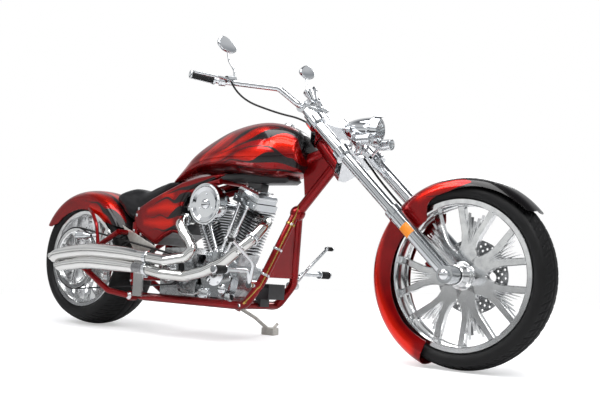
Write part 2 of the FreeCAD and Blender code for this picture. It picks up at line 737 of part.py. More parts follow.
def frame():
    """Steering head, backbone, downtube that forks into two cradle tubes, rails and mounts."""
    tube, rail, spread = N["frame_tube_radius"], N["rail_radius"], N["cradle_spread"]
    low, front, rear = N["cradle_height"], N["cradle_front_x"], N["cradle_rear_x"]
    half = N["head_length"] / 2
    head = cylinder(on_head(0, 0, -half), on_head(0, 0, half), N["head_wall_radius"])
    bore = cylinder(on_head(0, 0, -half - 5), on_head(0, 0, half + 5), N["stem_radius"])
    top, bottom = SPINE_TOP, on_head(0, 0, -half + 36)
    split = (1283, 0, 575)
    shapes = [head, rod((top,) + BACKBONE, SPINE_RADIUS, 120), rod([bottom, split], SPINE_RADIUS),
              plate([(bottom[0], bottom[2]), (top[0], top[2]), (1300, BACKBONE_FRONT), (1318, 650)], 10, 0)]
    for side in (-1, 1):
        y = side * spread
        shapes.append(rod([(split[0] - 6, side * 14, split[2] - 14), (1195, y, 270), (front, y, low),
                           (rear + 40, y, low), (rear, y, low + 60), (rear - 4, y, 520)], tube, 70))
        shapes.append(rod([(944, side * 123, RAIL_TOP), (880, side * 123, RAIL_TOP - 12), (700, side * 96, 654),
                           (600, side * 96, 620), (rear - 4, y, 520)], rail, 60))
    shapes.append(Part.makeSphere(33, Vector(*split)))
    web = Part.Face(Part.makePolygon([Vector(1272, 0, 545), Vector(1202, spread - 16, 296),
                                      Vector(1202, 16 - spread, 296), Vector(1272, 0, 545)]))
    shapes.append(web.extrude(Vector(5, 0, -1.4)))
    shapes.append(cylinder((940, -123, RAIL_TOP), (940, 123, RAIL_TOP), 10))
    shapes.append(cylinder((940, 0, RAIL_TOP - 6), (940, 0, BACKBONE_SADDLE), 10))
    for x, z, radius in ((front - 4, low, tube - 4), (rear, low + 90, tube - 4), (rear - 4, 500, tube - 4)):
        shapes.append(cylinder((x, -spread, z), (x, spread, z), radius))
    for x, length in ((960, 46), (800, 46), (610, 60)):
        shapes.append(Part.makeBox(length, 2 * spread, 8, Vector(x, -spread, low - 8.3)))
    bored = [shape.cut(bore) for shape in shapes[:4]]
    solid("frame", weld(bored + shapes[4:] + stand_bracket()))


def stand_bracket():
    """Two ears and a pin that carry the side stand's eye."""
    place, _ = stand_frame()
    hinge = place.Rotation.multVec(Z)
    inward = place.Rotation.inverted().multVec(hinge * hinge.y - Y)
    tongue = Placement(Vector(), Rotation(X, inward))
    shapes = [Part.makeCylinder(STAND_PIN, 32, Vector(0, 0, -16))]
    for z in (-16, 11):
        bar = Part.makeBox(STAND_EYE + 20, 18, 5, Vector(0, -9, 0))
        bar.Placement = shift(0, 0, z) * tongue
        shapes += [Part.makeCylinder(STAND_EYE, 5, Vector(0, 0, z)), bar]
    for shape in shapes:
        shape.Placement = place * shape.Placement
    return shapes


def swingarm():
    """Triangulated rear fork that carries the axle outside the belt and the disc."""
    spread, radius, axle = N["swingarm_spread"], N["swingarm_radius"], N["rear_axle_height"]
    pivot_y = N["cradle_spread"] + N["frame_tube_radius"]
    shapes = []
    for side in (-1, 1):
        y = side * spread
        shapes.append(rod([(0, y, axle), (110, y, axle - 46), (300, y, 186), (436, side * 166, 168)], radius, 80))
        shapes.append(rod([(0, y, axle), (206, y, axle + 64), (350, y, axle + 137)], radius - 2, 80))
        shapes.append(cylinder((0, y - 15, axle), (0, y + 15, axle), 30))
        shapes.append(cylinder((436, side * pivot_y, 168), (436, side * (pivot_y + 40), 168), 22))
    bridge = axle + 137
    shapes.append(cylinder((350, -spread, bridge), (350, spread, bridge), radius - 2))
    shapes.append(cylinder((350, 0, bridge), (396, 0, 500), 9))
    hole = cylinder((0, -spread - 20, axle), (0, spread + 20, axle), N["axle_radius"])
    solid("swingarm", less(weld(shapes).cut(hole), "frame"))


def rear_axle():
    made = body("rear_axle", REAR)
    reach, radius = S["swingarm_spread"] + 15, S["axle_radius"]
    lathe(made, outline(sketch(made, "XY"), [
        (0, -reach - 8), (radius * 1.6, -reach - 8), (radius * 1.6, -reach), (radius, -reach),
        (radius, reach), (radius * 1.6, reach), (radius * 1.6, reach + 8), (0, reach + 8)]))


# ---------------------------------------------------------------- body work
# columns: x, underside, height of the widest level, crown, half width
TANK_SECTIONS = (
    (548, 712, 720, 732, 28), (640, 734, 758, 800, 62), (720, 748, 786, 858, 92), (820, 756, 806, 908, 116),
    (950, 752, 812, 955, 140), (1100, 732, 806, 974, 154), (1230, 722, 806, 950, 142), (1332, 752, 818, 892, 86),
)


def spine_room():
    """Backbone with the small gap that a seat on it keeps."""
    return rod((SPINE_TOP,) + BACKBONE + ((380, 0, 518),), SPINE_RADIUS + N["seat_gap"], 120)


def fuel_tank():
    shape = Part.makeLoft([arch(*row) for row in TANK_SECTIONS], True, False)
    half = SPINE_RADIUS + N["seat_gap"]
    line = [(point[0], point[2]) for point in (SPINE_TOP,) + BACKBONE]
    slot = plate(line + [(440, 500), (SPINE_TOP[0], 500)], 2 * half, 0)
    shape = shape.cut(spine_room()).cut(slot)
    solid("fuel_tank", largest(shape))


SEAT_SIDE = ((172, 626), (199, 660), (228, 680), (262, 689), (310, 688), (350, 678), (384, 674), (420, 683),
             (467, 698), (520, 716), (560, 728), (600, 724), (560, 700), (490, 650), (436, 606), (380, 560),
             (345, 500), (176, 500))


def seat():
    wheel_room = cylinder((0, -200, N["rear_axle_height"]), (0, 200, N["rear_axle_height"]),
                          N["rear_radius"] + N["fender_gap"] + N["sheet_thickness"] + N["seat_gap"])
    shape = plate(SEAT_SIDE, 176, 0).cut(spine_room()).cut(wheel_room)
    solid("seat", largest(less(shape, "frame", "fuel_tank", "swingarm")))


COVER_SIDE = ((398, 486), (470, 446), (542, 414), (596, 452), (650, 476), (696, 468), (704, 520), (704, 600),
              (736, 648), (820, 684), (900, 712), (968, 738), (900, 738), (800, 728), (698, 708), (600, 672),
              (501, 634), (405, 588), (386, 545))

# the cover's forward wing is a hollow skin round the rear rocker box: size and corner of the room in it
ENGINE_ROOM = (320, 212, 220, Vector(690, -106, 596))


def oil_tank():
    """Side covers round the oil tank, from the tank's tail down to the gearbox."""
    shape = plate(COVER_SIDE, 256, 0).cut(spine_room()).cut(Part.makeBox(*ENGINE_ROOM))
    shape = shape.makeChamfer(12, [edge for edge in shape.Edges if abs(abs(edge.BoundBox.Center.y) - 128) < 1])
    shape = less(shape, "frame", "seat", "fuel_tank")
    solid("oil_tank", largest(shape))


def side_plates():
    """Polished three-cornered plates at the foot of the side covers."""
    corners = ((322, 500), (556, 405), (442, 371))
    solid("side_plates", Part.makeCompound([
        largest(less(plate(corners, 4, side * 131), "frame", "swingarm", "oil_tank")) for side in (-1, 1)]))


def rear_fender():
    radius = N["rear_radius"] + N["fender_gap"] + N["sheet_thickness"]
    arc = trimmed(fender(radius, N["rear_width"] / 2 + 11, 246, 24, 126), REAR_EDGE)
    solid("rear_fender", arc, REAR)


def fender_struts():
    """Painted struts from the fender's flanks out over the belt and down to the swingarm."""
    half, spread, axle = N["rear_width"] / 2 + 11, N["swingarm_spread"], N["rear_axle_height"]
    made = []
    for side in (-1, 1):
        strut = rod([(60, side * (half - 1), axle + 252), (120, side * (half + 26), axle + 227),
                     (186, side * spread, axle + 167), (206, side * spread, axle + 64)], 9, 50)
        made.append(largest(less(strut, "rear_fender", "swingarm")))
    solid("fender_struts", Part.makeCompound(made))


def rear_lamps():
    made = []
    for side in (-1, 1):
        y = side * 226
        shell = cylinder((100, y, 446), (160, y, 446), 21)
        nose = Part.makeCone(21, 7, 36, Vector(160, y, 446), X)
        stem = cylinder((150, y, 446), (196, side * N["swingarm_spread"], 448), 7)
        made.append(less(weld([shell, nose, stem]), "fender_struts"))
    solid("rear_lamps", Part.makeCompound(made))


# ---------------------------------------------------------------- engine and drive
CRANK = shift(N["crank_x"], 0, N["crank_z"])
BANKS = (1, -1)
HEAD_DECK = N["deck_height"] + N["fin_count"] * N["fin_pitch"] + 8


def tilted(shape, side, height=0.0):
    """Stand a shape on a bank of the engine: side 1 is the forward cylinder."""
    shape.Placement = CRANK * turn(Y, side * N["bank_angle"]) * shift(z=height)
    return shape


def on_bank(side, x, y, z):
    return (CRANK * turn(Y, side * N["bank_angle"])).multVec(Vector(x, y, z))


def crankcase():
    half, radius, bore = N["case_half_width"], N["case_radius"], N["bore_radius"]
    x, z = N["crank_x"], N["crank_z"]
    shapes = [cylinder((x, -half, z), (x, half, z), radius)]
    for side in BANKS:
        shapes.append(tilted(Part.makeBox(2 * bore + 16, 2 * half - 16, N["deck_height"],
                                          Vector(-bore - 8, -half + 8, 0)), side))
    shapes.append(Part.makeBox(270, 2 * half, 74, Vector(x - 200, -half, z - radius)))
    solid("crankcase", weld(shapes))


def cylinders():
    """Finned barrels and heads, parted on the plane between the banks."""
    deck, reach = N["deck_height"], N["fin_radius"]
    made = []
    for side in BANKS:
        shapes = [Part.makeCylinder(N["bore_radius"], HEAD_DECK - deck, Vector(0, 0, deck))]
        for i in range(int(N["fin_count"])):
            shapes.append(Part.makeBox(2 * reach, 2 * reach - 16, N["fin_thickness"],
                                       Vector(-reach, -reach + 8, deck + 12 + i * N["fin_pitch"])))
        half_room = Part.makeBox(400, 400, 600, Vector(N["crank_x"] + (0.4 if side > 0 else -400.4), -200,
                                                       N["crank_z"]))
        made.append(less(tilted(weld(shapes), side).common(half_room), "crankcase"))
    solid("cylinders", Part.makeCompound(made))


def rocker_boxes():
    """Covers on the heads; they reach out over the pushrods on the right."""
    high = N["rocker_height"]
    base = ((-70, 0), (70, 0), (70, 30), (-70, 30))
    cover = ((-62, 30), (62, 30), (62, high - 16), (48, high), (-48, high), (-62, high - 16))
    made = []
    for side in BANKS:
        lid = plate(cover, 128, -28)
        lid = lid.makeChamfer(9, [edge for edge in lid.Edges if edge.BoundBox.ZMin > high - 1])
        made.append(largest(less(tilted(weld([plate(base, 142, -28), lid]), side, HEAD_DECK), "frame")))
    solid("rocker_boxes", Part.makeCompound(made))


def cam_cover():
    """Cover over the cams with the tappet block above it."""
    made = body("cam_cover", CRANK * shift(y=-N["case_half_width"]))
    profile = outline(sketch(made, "XZ"), [(-62, 70), (62, 70), (94, 10), (76, -50), (30, -82), (-30, -82),
                                           (-76, -50), (-94, 10)])
    pad(made, profile, 32, Midplane=False)
    tappets = outline(sketch(made, "XZ"), [(-84, 60), (-40, 118), (40, 118), (84, 60)])
    pad(made, tappets, 32, Midplane=False)
    remember(made)


def pushrod_tubes():
    """Two tubes a bank, from the tappet blocks to the rocker boxes."""
    made = []
    y = -N["case_half_width"] - 18
    for side in BANKS:
        for low, high in ((-34, -30), (-8, 22)):
            tube = cylinder(on_bank(side, low * side, y, 70), on_bank(side, high * side, y, HEAD_DECK + 20), 8)
            made.append(less(tube, "rocker_boxes", "cam_cover", "crankcase").Solids[0])
    solid("pushrod_tubes", Part.makeCompound(made))


def primary_case():
    """Left-hand cover over the clutch and the primary drive."""
    made = body("primary_case", CRANK * shift(y=N["case_half_width"]))
    drop = S["gearbox_z"] - S["crank_z"]
    reach = S["gearbox_x"] - S["crank_x"]
    profile = outline(sketch(made, "XZ"), [(0, -86, 90), (0, 86), (reach, drop + 100, 104), (reach, drop - 100)])
    pad(made, profile, 78, Midplane=False, Reversed=True)


def gearbox():
    """Gearbox with the output pulley on its right side."""
    x, z, half = N["gearbox_x"], N["gearbox_z"], N["case_half_width"]
    low = N["crank_z"] - N["case_radius"]
    side = ((570, low), (800, low), (800, 380), (750, 410), (600, 404), (570, 370))
    shape = plate(side, 100 + half, (half - 100) / 2)
    pulley = cylinder((x, -100, z), (x, -N["belt_offset"] - 17, z), N["front_pulley_radius"])
    solid("gearbox", less(weld([shape, pulley]), "crankcase", "frame"))


def drive_belt():
    """Flat toothed belt round both pulleys, as one closed loop."""
    big, small = N["pulley_radius"] + N["seat_gap"], N["front_pulley_radius"]
    start, end = Vector(0, 0, N["rear_axle_height"]), Vector(N["gearbox_x"], 0, N["gearbox_z"])
    slope = math.atan2(end.z - start.z, end.x - start.x)
    middle = -N["belt_offset"] - N["belt_width"] / 2 + 1

    def loop(extra):
        spread = math.acos((big - small) / (end - start).Length)
        ends = []
        for centre, radius, angles in (
                (start, big + extra, (slope + spread, slope + math.pi, slope - spread)),
                (end, small + extra, (slope - spread, slope, slope + spread))):
            ends.append([centre + Vector(math.cos(a) * radius, middle, math.sin(a) * radius) for a in angles])
        (a, b, c), (d, e, f) = ends
        return Part.Wire([Part.Arc(a, b, c).toShape(), Part.LineSegment(c, d).toShape(),
                          Part.Arc(d, e, f).toShape(), Part.LineSegment(f, a).toShape()])

    face = Part.Face(loop(N["belt_thickness"])).cut(Part.Face(loop(0)))
    solid("drive_belt", face.extrude(Vector(0, N["belt_width"] - 2, 0)).Solids[0])


def air_cleaner():
    """Round dished cover on a teardrop backing, and the intake throat between the heads."""
    x, z, face = N["crank_x"] + 11, 598, -214
    shape = weld([cylinder((x, face, z), (x, face + 34, z), 90), cylinder((x, face + 34, z), (x, face + 62, z), 78),
                  plate([(x + dx, z + dz) for dx, dz in
                         ((-116, -8), (-104, 50), (-24, 94), (56, 66), (66, -34), (-34, -84))], 26, face + 47),
                  rod([(x, face + 62, z), (x, -110, 600), (x, 10, 600)], 22, 60),
                  cylinder((x - 50, 0, 600), (x + 50, 0, 600), 19)])
    dish = Part.makeCone(74, 58, 6, Vector(x, face, z), Y)
    boss = Part.makeCone(19, 22, 6, Vector(x, face, z), Y)
    shape = less(shape.cut(dish.cut(boss)), "cylinders", "rocker_boxes")
    solid("air_cleaner", largest(shape))


def exhaust_pipes():
    y, radius = -N["pipe_offset"], N["pipe_radius"]
    front = rod([(1096, -30, 545), (1160, -50, 535), (1190, -110, 510), (1190, -180, 450), (1150, -215, 405),
                 (1070, -215, 349), (958, -215, 304), (850, -225, 278), (740, y, 284), (640, y, 300)], radius, 70)
    rear = rod([(764, -34, 538), (736, -70, 540), (736, -140, 534), (772, -190, 508), (806, -200, 470),
                (840, -200, 440), (876, -206, 398), (846, -220, 362), (760, y, 342), (640, y, 352)], radius, 45)
    pipes = [largest(less(pipe, "cylinders", "rocker_boxes")) for pipe in (front, rear)]
    solid("exhaust_pipes", Part.makeCompound(pipes))


def mufflers():
    """Two stacked, arched mufflers with slash-cut tips, on one bracket from the frame."""
    y, radius = -N["pipe_offset"], N["muffler_radius"]
    upper = rod([(640, y, 352), (470, y, 366), (240, y, 372), (20, y, 350), (-140, y, 300)], radius, 240)
    lower = rod([(640, y, 300), (470, y, 308), (240, y, 314), (60, y, 296), (-30, y, 276)], radius - 2, 240)
    low = N["cradle_height"] + 6
    bracket = Part.makeBox(60, -y - N["cradle_spread"] - 10, 8, Vector(560, y, low))
    hanger = Part.makeBox(60, 8, 350 - low, Vector(560, y, low))
    shape = less(weld([upper, lower, bracket, hanger]), "frame", "exhaust_pipes")
    for tip, before, slant in (((-140, 300), (20, 350), 84), ((-30, 276), (60, 296), 70)):
        ahead = Vector(before[0] - tip[0], 0, before[1] - tip[1]).normalize()
        end = Vector(tip[0], y, tip[1])
        bore = cylinder(end - ahead * 10, end + ahead * 90, radius - 5)
        slash = plate([(tip[0] - 60, tip[1] + 90), (tip[0] - 4, tip[1] + radius + 8),
                       (tip[0] + slant, tip[1] - radius), (tip[0] + slant, tip[1] - radius - 30),
                       (tip[0] - 60, tip[1] - radius - 30)], 80, y)
        shape = shape.cut(bore).cut(slash)
    solid("mufflers", largest(shape))


def regulator():
    """Finned regulator between the cradle tubes, on the front cross tube."""
    fins = [Part.makeBox(4, 110, 66, Vector(1112 + i * 11, -55, 200)) for i in range(8)]
    base = Part.makeBox(81, 110, 50, Vector(1112, -55, 200))
    foot = Part.makeBox(30, 60, 40, Vector(1100, -30, 165))
    solid("regulator", less(weld([base, foot] + fins), "frame"))


PEG_X, PEG_Z, PEG_INNER = 1180, 318, 320
PEG_LENGTH, PEG_RADIUS = 80, 17


def foot_controls():
    made = []
    for side in (-1, 1):
        spread = N["cradle_spread"]
        hub = cylinder((1170, side * spread, 262), (1170, side * (spread + 52), 262), 17)
        peg_arm = rod([(1170, side * (spread + 40), 262), (PEG_X, side * (spread + 70), PEG_Z),
                       (PEG_X, side * PEG_INNER, PEG_Z)], 10, 40)
        toe = rod([(1172, side * (spread + 44), 270), (1216, side * (spread + 84), 350),
                   (1212, side * 330, 440)], 7, 60)
        made.append(less(weld([hub, peg_arm, toe]), "frame", "crankcase"))
    solid("foot_controls", Part.makeCompound(made))


def foot_pegs():
    solid("foot_pegs", Part.makeCompound(
        [cylinder((PEG_X, side * PEG_INNER, PEG_Z), (PEG_X, side * (PEG_INNER + PEG_LENGTH), PEG_Z), PEG_RADIUS)
         for side in (-1, 1)]))


# ---------------------------------------------------------------- side stand
def on_floor(x, y, height=0.0):
    """Datum point that lies the given height over the floor once parked."""
    z = 0.0
    for _ in range(20):
        z += height - PARK.multVec(Vector(x, y, z)).z
    return Vector(x, y, z)


def side_stand():
    place, length = stand_frame()
    eye = Part.makeCylinder(STAND_EYE, 20, Vector(0, 0, -10)).cut(
        Part.makeCylinder(STAND_PIN + N["running_gap"], 40, Vector(0, 0, -20)))
    leg = rod([(STAND_EYE - 3, 0, 0), (length * 0.5, 0, 8), (length, 0, 0)], N["stand_leg_radius"], 80)
    tip = rod([(length - 12, 0, 0), (length + 8, 2, 20), (length + 16, 4, 54)], N["stand_leg_radius"] - 2, 20)
    shape = weld([eye, leg, tip])
    shape.Placement = place
    foot = on_floor(N["stand_foot_x"], N["stand_foot_y"], 0)
    block = Part.makeBox(70, 44, N["foot_height"], Vector(-35, -22, 0))
    block.Placement = PARK.inverse() * shift(*tuple(PARK.multVec(foot)))
    solid("side_stand", weld([shape, block]))


frame()
swingarm()
rear_axle()
fuel_tank()
seat()
oil_tank()
side_plates()
rear_fender()
fender_struts()
rear_lamps()
crankcase()
cylinders()
rocker_boxes()
cam_cover()
pushrod_tubes()
primary_case()
gearbox()
drive_belt()
air_cleaner()
exhaust_pipes()
mufflers()
regulator()
foot_controls()
foot_pegs()
side_stand()


# ---------------------------------------------------------------- export
def finish():
    doc.recompute()
    for thing in doc.Objects:
        if {"Invalid", "Error"} & set(thing.State):
            raise RuntimeError(f"{thing.Label} ({thing.Name}) failed: {thing.State}")
    for thing in SUBPARTS:
        if thing.Shape.isNull() or not thing.Shape.isValid():
            raise RuntimeError(f"{thing.Label} has no valid shape")
    boxes = [thing.Shape.optimalBoundingBox(False, False) for thing in SUBPARTS]
    centre = shift(-(min(box.XMin for box in boxes) + max(box.XMax for box in boxes)) / 2,
                   -(min(box.YMin for box in boxes) + max(box.YMax for box in boxes)) / 2)
    for thing in SUBPARTS:
        thing.Placement = centre * thing.Placement
    doc.recompute()
    os.makedirs("parts", exist_ok=True)
    for thing in SUBPARTS:
        thing.Shape.exportStep(f"parts/{thing.Label}.step")


finish()
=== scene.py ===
"""Chopper motorcycle, dressed: finishes, painted sheet metal, cushion, tyres and small parts round the frame.

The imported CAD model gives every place. The dressed pieces follow its upright chassis datum: X forward, Y to
the rider's left, Z up, rear axle over X = 0, millimetres, leaned onto the side stand.
"""
from __future__ import annotations

import json
import logging
import math
from collections.abc import Iterator
from contextlib import contextmanager
from dataclasses import dataclass, field
from enum import Enum
from functools import partial

import bmesh
import bpy
import numpy as np
from bpy.types import Material, Mesh, Node, NodeSocket, NodeTree, Object
from mathutils import Matrix, Vector

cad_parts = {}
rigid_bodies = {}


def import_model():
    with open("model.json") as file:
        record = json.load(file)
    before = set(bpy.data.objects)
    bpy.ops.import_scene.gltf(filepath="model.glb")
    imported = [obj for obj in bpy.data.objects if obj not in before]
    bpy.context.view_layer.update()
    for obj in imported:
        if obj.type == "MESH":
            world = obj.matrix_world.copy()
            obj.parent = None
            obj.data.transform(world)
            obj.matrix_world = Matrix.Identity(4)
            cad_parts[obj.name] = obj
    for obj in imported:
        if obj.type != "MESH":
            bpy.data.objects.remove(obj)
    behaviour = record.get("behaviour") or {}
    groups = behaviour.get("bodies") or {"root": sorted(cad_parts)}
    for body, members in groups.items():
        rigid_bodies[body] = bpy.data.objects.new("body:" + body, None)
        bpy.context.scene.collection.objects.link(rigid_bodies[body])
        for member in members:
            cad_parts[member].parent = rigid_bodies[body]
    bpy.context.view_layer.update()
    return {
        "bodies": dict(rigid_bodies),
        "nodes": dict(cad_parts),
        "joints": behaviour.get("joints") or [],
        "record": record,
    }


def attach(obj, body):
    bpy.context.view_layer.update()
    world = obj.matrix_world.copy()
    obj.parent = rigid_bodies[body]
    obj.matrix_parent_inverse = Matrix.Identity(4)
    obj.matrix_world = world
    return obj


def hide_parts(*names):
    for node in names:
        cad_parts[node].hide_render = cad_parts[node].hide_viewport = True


log = logging.getLogger("chopper")
Row = tuple[float, ...]
Table = tuple[Row, ...]
Strokes = tuple[Table, ...]

# Crankshaft (x, z) in the datum, and how far each bank leans from upright, in degrees
CRANK: Row = (925.0, 276.0)
BANK_ANGLE = 22.5


# ---- colour and node helpers
def linear(code: str) -> tuple[float, float, float, float]:
    """Turn an sRGB hex colour to linear.

    Args:
        code: six hex digits, such as "A3120F".

    Returns:
        Linear red, green, blue and full alpha.
    """
    parts = [int(code[i:i + 2], 16) / 255 for i in (0, 2, 4)]
    low = [c / 12.92 if c <= 0.04045 else ((c + 0.055) / 1.055) ** 2.4 for c in parts]
    return (low[0], low[1], low[2], 1.0)


def add(tree: NodeTree, kind: str, values: dict | tuple = (), **settings: object) -> Node:
    """Add a node with its settings, its values and its links.

    Args:
        tree: node tree that takes the node.
        kind: node type, a shader node's without its leading ShaderNode.
        values: what each socket takes, by name or number: a constant, an output or a node.
        settings: plain properties of the node.

    Returns:
        The new node.
    """
    made = tree.nodes.new(kind if "Node" in kind else f"ShaderNode{kind}")
    for name, value in settings.items():
        setattr(made, name, value)
    for name, value in (values if isinstance(values, dict) else dict(enumerate(values))).items():
        if isinstance(value, Node):
            value = next(output for output in value.outputs if output.enabled)
        if isinstance(value, NodeSocket):
            tree.links.new(value, made.inputs[name])
        else:
            made.inputs[name].default_value = value
    return made


# ---- finishes
class Grain(Enum):
    """How a surface was made, which sets its fine relief."""

    ORANGE_PEEL = "sprayed lacquer"
    POLISH = "buffed plate"
    TURNED = "turned on a lathe"
    BRUSHED = "brushed"
    CAST = "cast and blasted"
    MOULDED = "moulded rubber"
    HIDE = "tanned hide"
    CLEAR = "clear moulding"


@dataclass(frozen=True)
class Finish:
    """One real finish: its colour, its shine and the relief that its making leaves."""

    name: str
    colour: str
    second: str
    grain: Grain
    pitch_mm: float
    metallic: float = 0.0
    roughness: float = 0.5
    ior: float = 1.5
    coat: float = 0.0
    bump: float = 0.1
    transmission: float = 0.0

    @property
    def pair(self) -> dict[int, tuple[float, float, float, float]]:
        """Its two colours, by the number of the socket that takes them in a colour mix."""
        return {6: linear(self.colour), 7: linear(self.second)}


# Sprayed base coat with fine aluminium flake under polished clear lacquer: deep red, glowing in the light
CANDY_RED = Finish("candy_red_lacquer", "8A0609", "700407", Grain.ORANGE_PEEL, 9, 0.8, 0.27, 1.5, 0.4, 0.015)
# Dark red of the frame: the same lacquer over fewer coats
FRAME_RED = Finish("frame_red_lacquer", "84080D", "6A060B", Grain.ORANGE_PEEL, 12, 0.75, 0.3, 1.5, 0.35, 0.02)
# Nickel and chrome plate over buffed steel: mirror with faint waves from the buffing wheel
CHROME = Finish("buffed_chrome_plate", "D9DBDD", "C4C7CA", Grain.POLISH, 26, 1.0, 0.07, 1.5, 0.0, 0.02)
# Plate on cast covers, slightly softer than on turned parts
SATIN_CHROME = Finish("satin_chrome_plate", "C9CCCE", "AFB3B6", Grain.POLISH, 14, 1.0, 0.17, 1.5, 0.0, 0.03)
# Machined and polished wheel alloy: bright with rings of the tool, drawn wider apart so that they show
BILLET = Finish("polished_wheel_alloy", "E3E4E4", "CFD0D1", Grain.TURNED, 2.2, 1.0, 0.16, 1.5, 0.0, 0.02)
# Stainless disc: grey with rings from grinding, drawn wider apart so that they show
DISC_STEEL = Finish("ground_disc_steel", "B6B7B8", "8F9092", Grain.TURNED, 1.6, 1.0, 0.28, 1.5, 0.0, 0.05)
# Polished cast aluminium of the engine cases: soft mirror with casting skin
CASE_ALLOY = Finish("polished_case_alloy", "C2C4C5", "8E9092", Grain.CAST, 2.4, 1.0, 0.26, 1.5, 0.0, 0.06)
# Powder coat baked on: satin black with a fine skin; also laid as painted shade inside the side covers, in
# the guard's holes and under the tank
BLACK_COAT_AND_SHADE = Finish("black_coat_and_painted_shade", "17171A", "0D0D0F", Grain.CAST, 1.6, 0.0, 0.4, 1.5, 0.2, 0.05)
# Tyre compound: near black, greyer where it is dusty
TYRE_RUBBER = Finish("tyre_compound", "09090A", "101011", Grain.MOULDED, 3.0, 0.0, 0.56, 1.52, 0.0, 0.12)
# Moulded grip and hose rubber: dull black with the grain of the mould
GRIP_RUBBER = Finish("moulded_rubber", "151516", "222223", Grain.MOULDED, 1.5, 0.0, 0.5, 1.52, 0.0, 0.1)
# Smooth black saddle hide with fine pores and a waxed shine
SADDLE_HIDE = Finish("saddle_hide", "101012", "19191B", Grain.HIDE, 1.7, 0.0, 0.42, 1.45, 0.12, 0.12)
# Zinc plate, passivated: pale grey that blurs what it reflects
ZINC = Finish("pale_zinc_plate", "C9C6C0", "B2AFA9", Grain.BRUSHED, 1.2, 0.75, 0.38, 1.5, 0.0, 0.05)
# Hard-drawn brass: warm yellow with faint lines along the draw
BRASS = Finish("drawn_brass", "B5924F", "94753A", Grain.BRUSHED, 1.0, 1.0, 0.25, 1.5, 0.0, 0.03)
# Amber acrylic moulded over prisms: bright even where no light falls
AMBER = Finish("amber_prism", "E88A00", "D27000", Grain.CLEAR, 3.0, 0.0, 0.3, 1.49, 0.15, 0.3)
# Clear lamp glass with faint flutes
LAMP_GLASS = Finish("lamp_glass", "F4F7F8", "E2E8EA", Grain.CLEAR, 6.0, 0.0, 0.03, 1.5, 0.0, 0.05, 0.85)
# Smoked red lens of the rear lamps
RED_LENS = Finish("ruby_lens", "8E0A0C", "5C0506", Grain.CLEAR, 3.0, 0.0, 0.1, 1.49, 0.3, 0.2)
# Glass silvered behind: a clean mirror
MIRROR_GLASS = Finish("silvered_glass", "EEF0F1", "DFE2E4", Grain.POLISH, 60, 1.0, 0.02, 1.5, 0.0, 0.002)
# Plate with the dull bloom that heat leaves on it near the ports, drawn here as patches at random over the
# pipes
PIPE_CHROME = Finish("exhaust_chrome", "D2D3D2", "B9B4AB", Grain.POLISH, 40, 1.0, 0.1, 1.5, 0.0, 0.015)
# Satin plating on the mufflers: broad soft reflections
MUFFLER_CHROME = Finish("muffler_chrome", "E4E4E3", "CFCDC9", Grain.POLISH, 40, 1.0, 0.2, 1.5, 0.0, 0.02)
# Screen-printed enamel on the dial: flat white
DIAL_MARK = Finish("dial_print", "E9EAEA", "D8D9DA", Grain.CLEAR, 2.0, 0.0, 0.5, 1.5, 0.0, 0.02)
# Printed card under lacquer: near black with a soft shine
DIAL = Finish("dial_face", "101113", "1D1E21", Grain.CLEAR, 2.0, 0.0, 0.3, 1.5, 0.6, 0.02)


@dataclass(frozen=True)
class FlamePaint:
    """Dark licks laid over red by an airbrush, under one clear coat, with a painted highlight of brighter
    orange-red on the red; the field is in millimetres.
    """

    name: str = "flame_lacquer_and_painted_highlight"
    ground: Finish = CANDY_RED
    # painted highlight: orange-red laid into the red where it would catch the light
    glow: str = "D8200B"
    lick: str = "0C0A0B"
    smoke: str = "1D1516"
    cloud_mm: float = 71.43
    # real flake is far finer; it is drawn this coarse so that it shows
    flake_mm: float = 1.111
    peel_mm: float = 9.091


@dataclass(frozen=True)
class FinShadePaint:
    """Finned barrels in bright metal, with a dark coat laid between the fins as painted shade for the
    recesses; sizes in millimetres.
    """

    name: str = "fins_with_painted_shade"
    ground: Finish = Finish("fin_painted_shade", "121214", "1C1C1E", Grain.CAST, 1.8, 0.0, 0.46, 1.5, 0.0, 0.06)
    edge: Finish = Finish("fin_edge", "CFD1D3", "B2B4B6", Grain.BRUSHED, 1.2, 1.0, 0.24, 1.5, 0.0, 0.03)
    reach: float = 62.6
    side: float = 54.6


